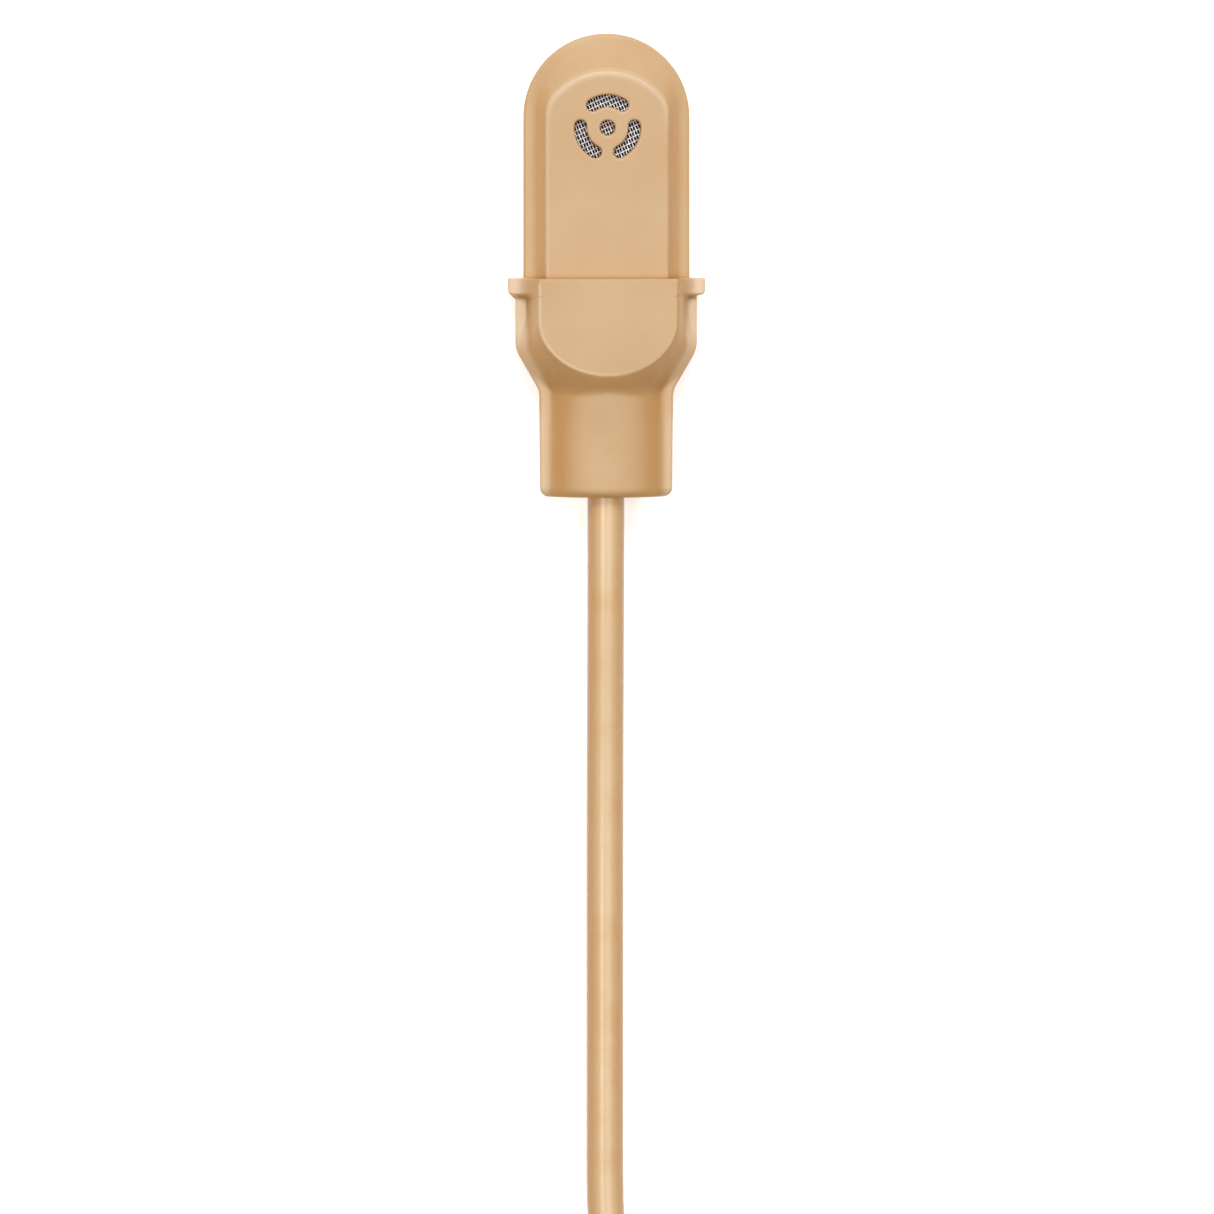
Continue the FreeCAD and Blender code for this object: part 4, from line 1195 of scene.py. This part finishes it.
def lock_ring_profile():
    """Chamfered ends, a groove inside each, and a threaded bore."""
    groove_radius = LOCK_RADIUS - GROOVE_DEPTH
    chamfer = [(0, 4.05), (0.35, LOCK_RADIUS), (0.9, LOCK_RADIUS)]
    groove = [(1.0, groove_radius), (1.25, groove_radius), (1.35, LOCK_RADIUS)]
    end = chamfer + groove
    profile = [(LOCK_START, BODY_NECK_RADIUS + 0.06)]
    profile += [(LOCK_START + along, radius) for along, radius in end]
    profile += [(LOCK_END - along, radius) for along, radius in reversed(end)]
    profile += [(LOCK_END, LOCK_THREAD_RADIUS + 0.25), (LOCK_END - 0.25, LOCK_THREAD_RADIUS)]
    for turn in range(1, SCREW_TURNS + 1):
        along = LOCK_END - SCREW_PITCH * turn
        profile += [(along, LOCK_THREAD_RADIUS + 0.14), (along - 0.25, LOCK_THREAD_RADIUS)]
    rear_wall = LOCK_START + 1.75
    return profile + [(rear_wall, LOCK_THREAD_RADIUS), (rear_wall, BODY_NECK_RADIUS + 0.06)]


def stepped_tube(tail, step, end, bore, narrow, wide):
    """A tube on the plug's axis that is narrow up to its step and wide from there to its end."""
    return [(tail, bore), (tail, narrow), (step, narrow), (step, wide), (end, wide), (end, bore)]


def tip_profile():
    """The centre rod, and the waisted tip that a socket's spring snaps behind."""
    rod = [(12.8, 0), (12.8, TIP_ROD_RADIUS), (TIP_START, TIP_ROD_RADIUS)]
    waist = [(TIP_START, SHANK_RADIUS), (34.7, SHANK_RADIUS), (35.5, 1.2), (35.9, 1.12), (36.2, 1.15)]
    return rod + waist + [(36.55, 1.42), (36.9, 1.55), (37.3, 1.4), (37.75, 0.85), (38.0, 0.4), (38.0, 0)]


def make_plug(material):
    """The locking plug's visible parts, as fine turned meshes."""
    made = []

    def part(name, profile, finish, replaced, slot=None, **options):
        made.append(lathe(name, profile, material[finish], slot or finish, [replaced], **options))

    part("strain_relief", relief_profile(), "relief_rubber", "plug_relief", soft=0.05)
    part("shell_cover", shell_profile(), "nickel", "plug_shell", soft=0.1, steps=160)
    part("flange_body", body_profile(), "nickel", "plug_body", soft=0.08, steps=128)
    ring = {"slot": "nickel", "body": "lock_ring", "steps": 8 * KNURL_FLUTES, "soft": 0.05, "cut": knurl_cut}
    part("knurled_ring", lock_ring_profile(), "knurled_nickel", "lock_ring", **ring)
    sleeve = stepped_tube(15.5, SEAT, SLEEVE_END, OUTER_TUBE_RADIUS, 2.15, SHANK_RADIUS)
    part("shank_sleeve", sleeve, "gold", "sleeve_contact", soft=0.04)
    outer = stepped_tube(14.9, SLEEVE_END, RING_START, RING_TUBE_RADIUS, OUTER_TUBE_RADIUS, INSULATOR_RADIUS)
    part("outer_band", outer, "black_insulator", "outer_insulator", soft=0.02)
    middle = stepped_tube(14.2, RING_START, RING_END, INNER_TUBE_RADIUS, RING_TUBE_RADIUS, SHANK_RADIUS)
    part("shank_ring", middle, "gold", "ring_contact", soft=0.04)
    inner = stepped_tube(13.4, RING_END, TIP_START, TIP_ROD_RADIUS, INNER_TUBE_RADIUS, INSULATOR_RADIUS)
    part("inner_band", inner, "black_insulator", "inner_insulator", soft=0.02)
    part("shank_tip", tip_profile(), "gold", "tip_contact", soft=0.12)
    return made


# ---- Carried-over CAD pieces --------------------------------------------------------------------------

KEPT_FINISHES = {
    "membrane": ["water_membrane"],
    "gasket_rubber": ["membrane_gasket", "capsule_collar", "capsule_cushion"],
    "can_aluminium": ["capsule_can"],
    "brass": ["diaphragm_ring", "backplate", "contact_ring", "cable_crimp"],
    "film": ["diaphragm", "diaphragm_spacer"],
    "holder_plastic": ["capsule_insulator"],
    "chip": ["transistor"],
    "board": ["capsule_board"],
    "solder": ["solder_joints"],
    "wire_white": ["signal_wire", "plug_signal_wire"],
    "wire_red": ["bias_wire", "plug_bias_wire"],
    "tinned_copper": ["shield_tail", "cable_clamp"],
    "potting": ["tail_potting"],
    "spring_steel": ["ring_clip"],
    "gold": ["ring_lug", "tip_lug"],
}


def paint_kept(nodes, material):
    for finish, names in KEPT_FINISHES.items():
        for name in names:
            data = nodes[name].data
            data.materials.clear()
            data.materials.append(material[finish])


def make_floor():
    material, tree, shader = new_material("floor_paper", specular=0.1)
    pale = mix(tree, cloud(tree, 30), (0.93, 0.93, 0.93, 1), (0.91, 0.91, 0.91, 1))
    tree.links.new(pale, shader.inputs["Base Color"])
    set_inputs(shader, {"Roughness": 0.9, "Emission Color": (1, 1, 1, 1), "Emission Strength": 0.5})
    mesh = bmesh.new()
    bmesh.ops.create_grid(mesh, x_segments=1, y_segments=1, size=3.0)
    data = bpy.data.meshes.new("floor")
    mesh.to_mesh(data)
    mesh.free()
    floor = add_object("floor", data, material)
    floor.location.z = -0.00005


# ---- Build --------------------------------------------------------------------------------------------

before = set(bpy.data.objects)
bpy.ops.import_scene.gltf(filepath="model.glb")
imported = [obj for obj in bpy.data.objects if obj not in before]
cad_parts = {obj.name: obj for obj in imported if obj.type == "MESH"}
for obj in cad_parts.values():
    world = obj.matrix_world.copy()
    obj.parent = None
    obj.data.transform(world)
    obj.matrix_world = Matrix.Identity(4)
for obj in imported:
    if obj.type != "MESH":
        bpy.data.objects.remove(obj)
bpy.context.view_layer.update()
make_camera()
light_scene()
material = make_materials()
cord = make_cord(material["cable_jacket"])
tie = make_tie(material["tie_fabric"])
plug_pieces = make_plug(material)
paint_kept(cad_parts, material)
make_head(material["case_plastic"])
make_grille(material["steel_mesh"])
make_boot(material["boot_rubber"])
make_floor()
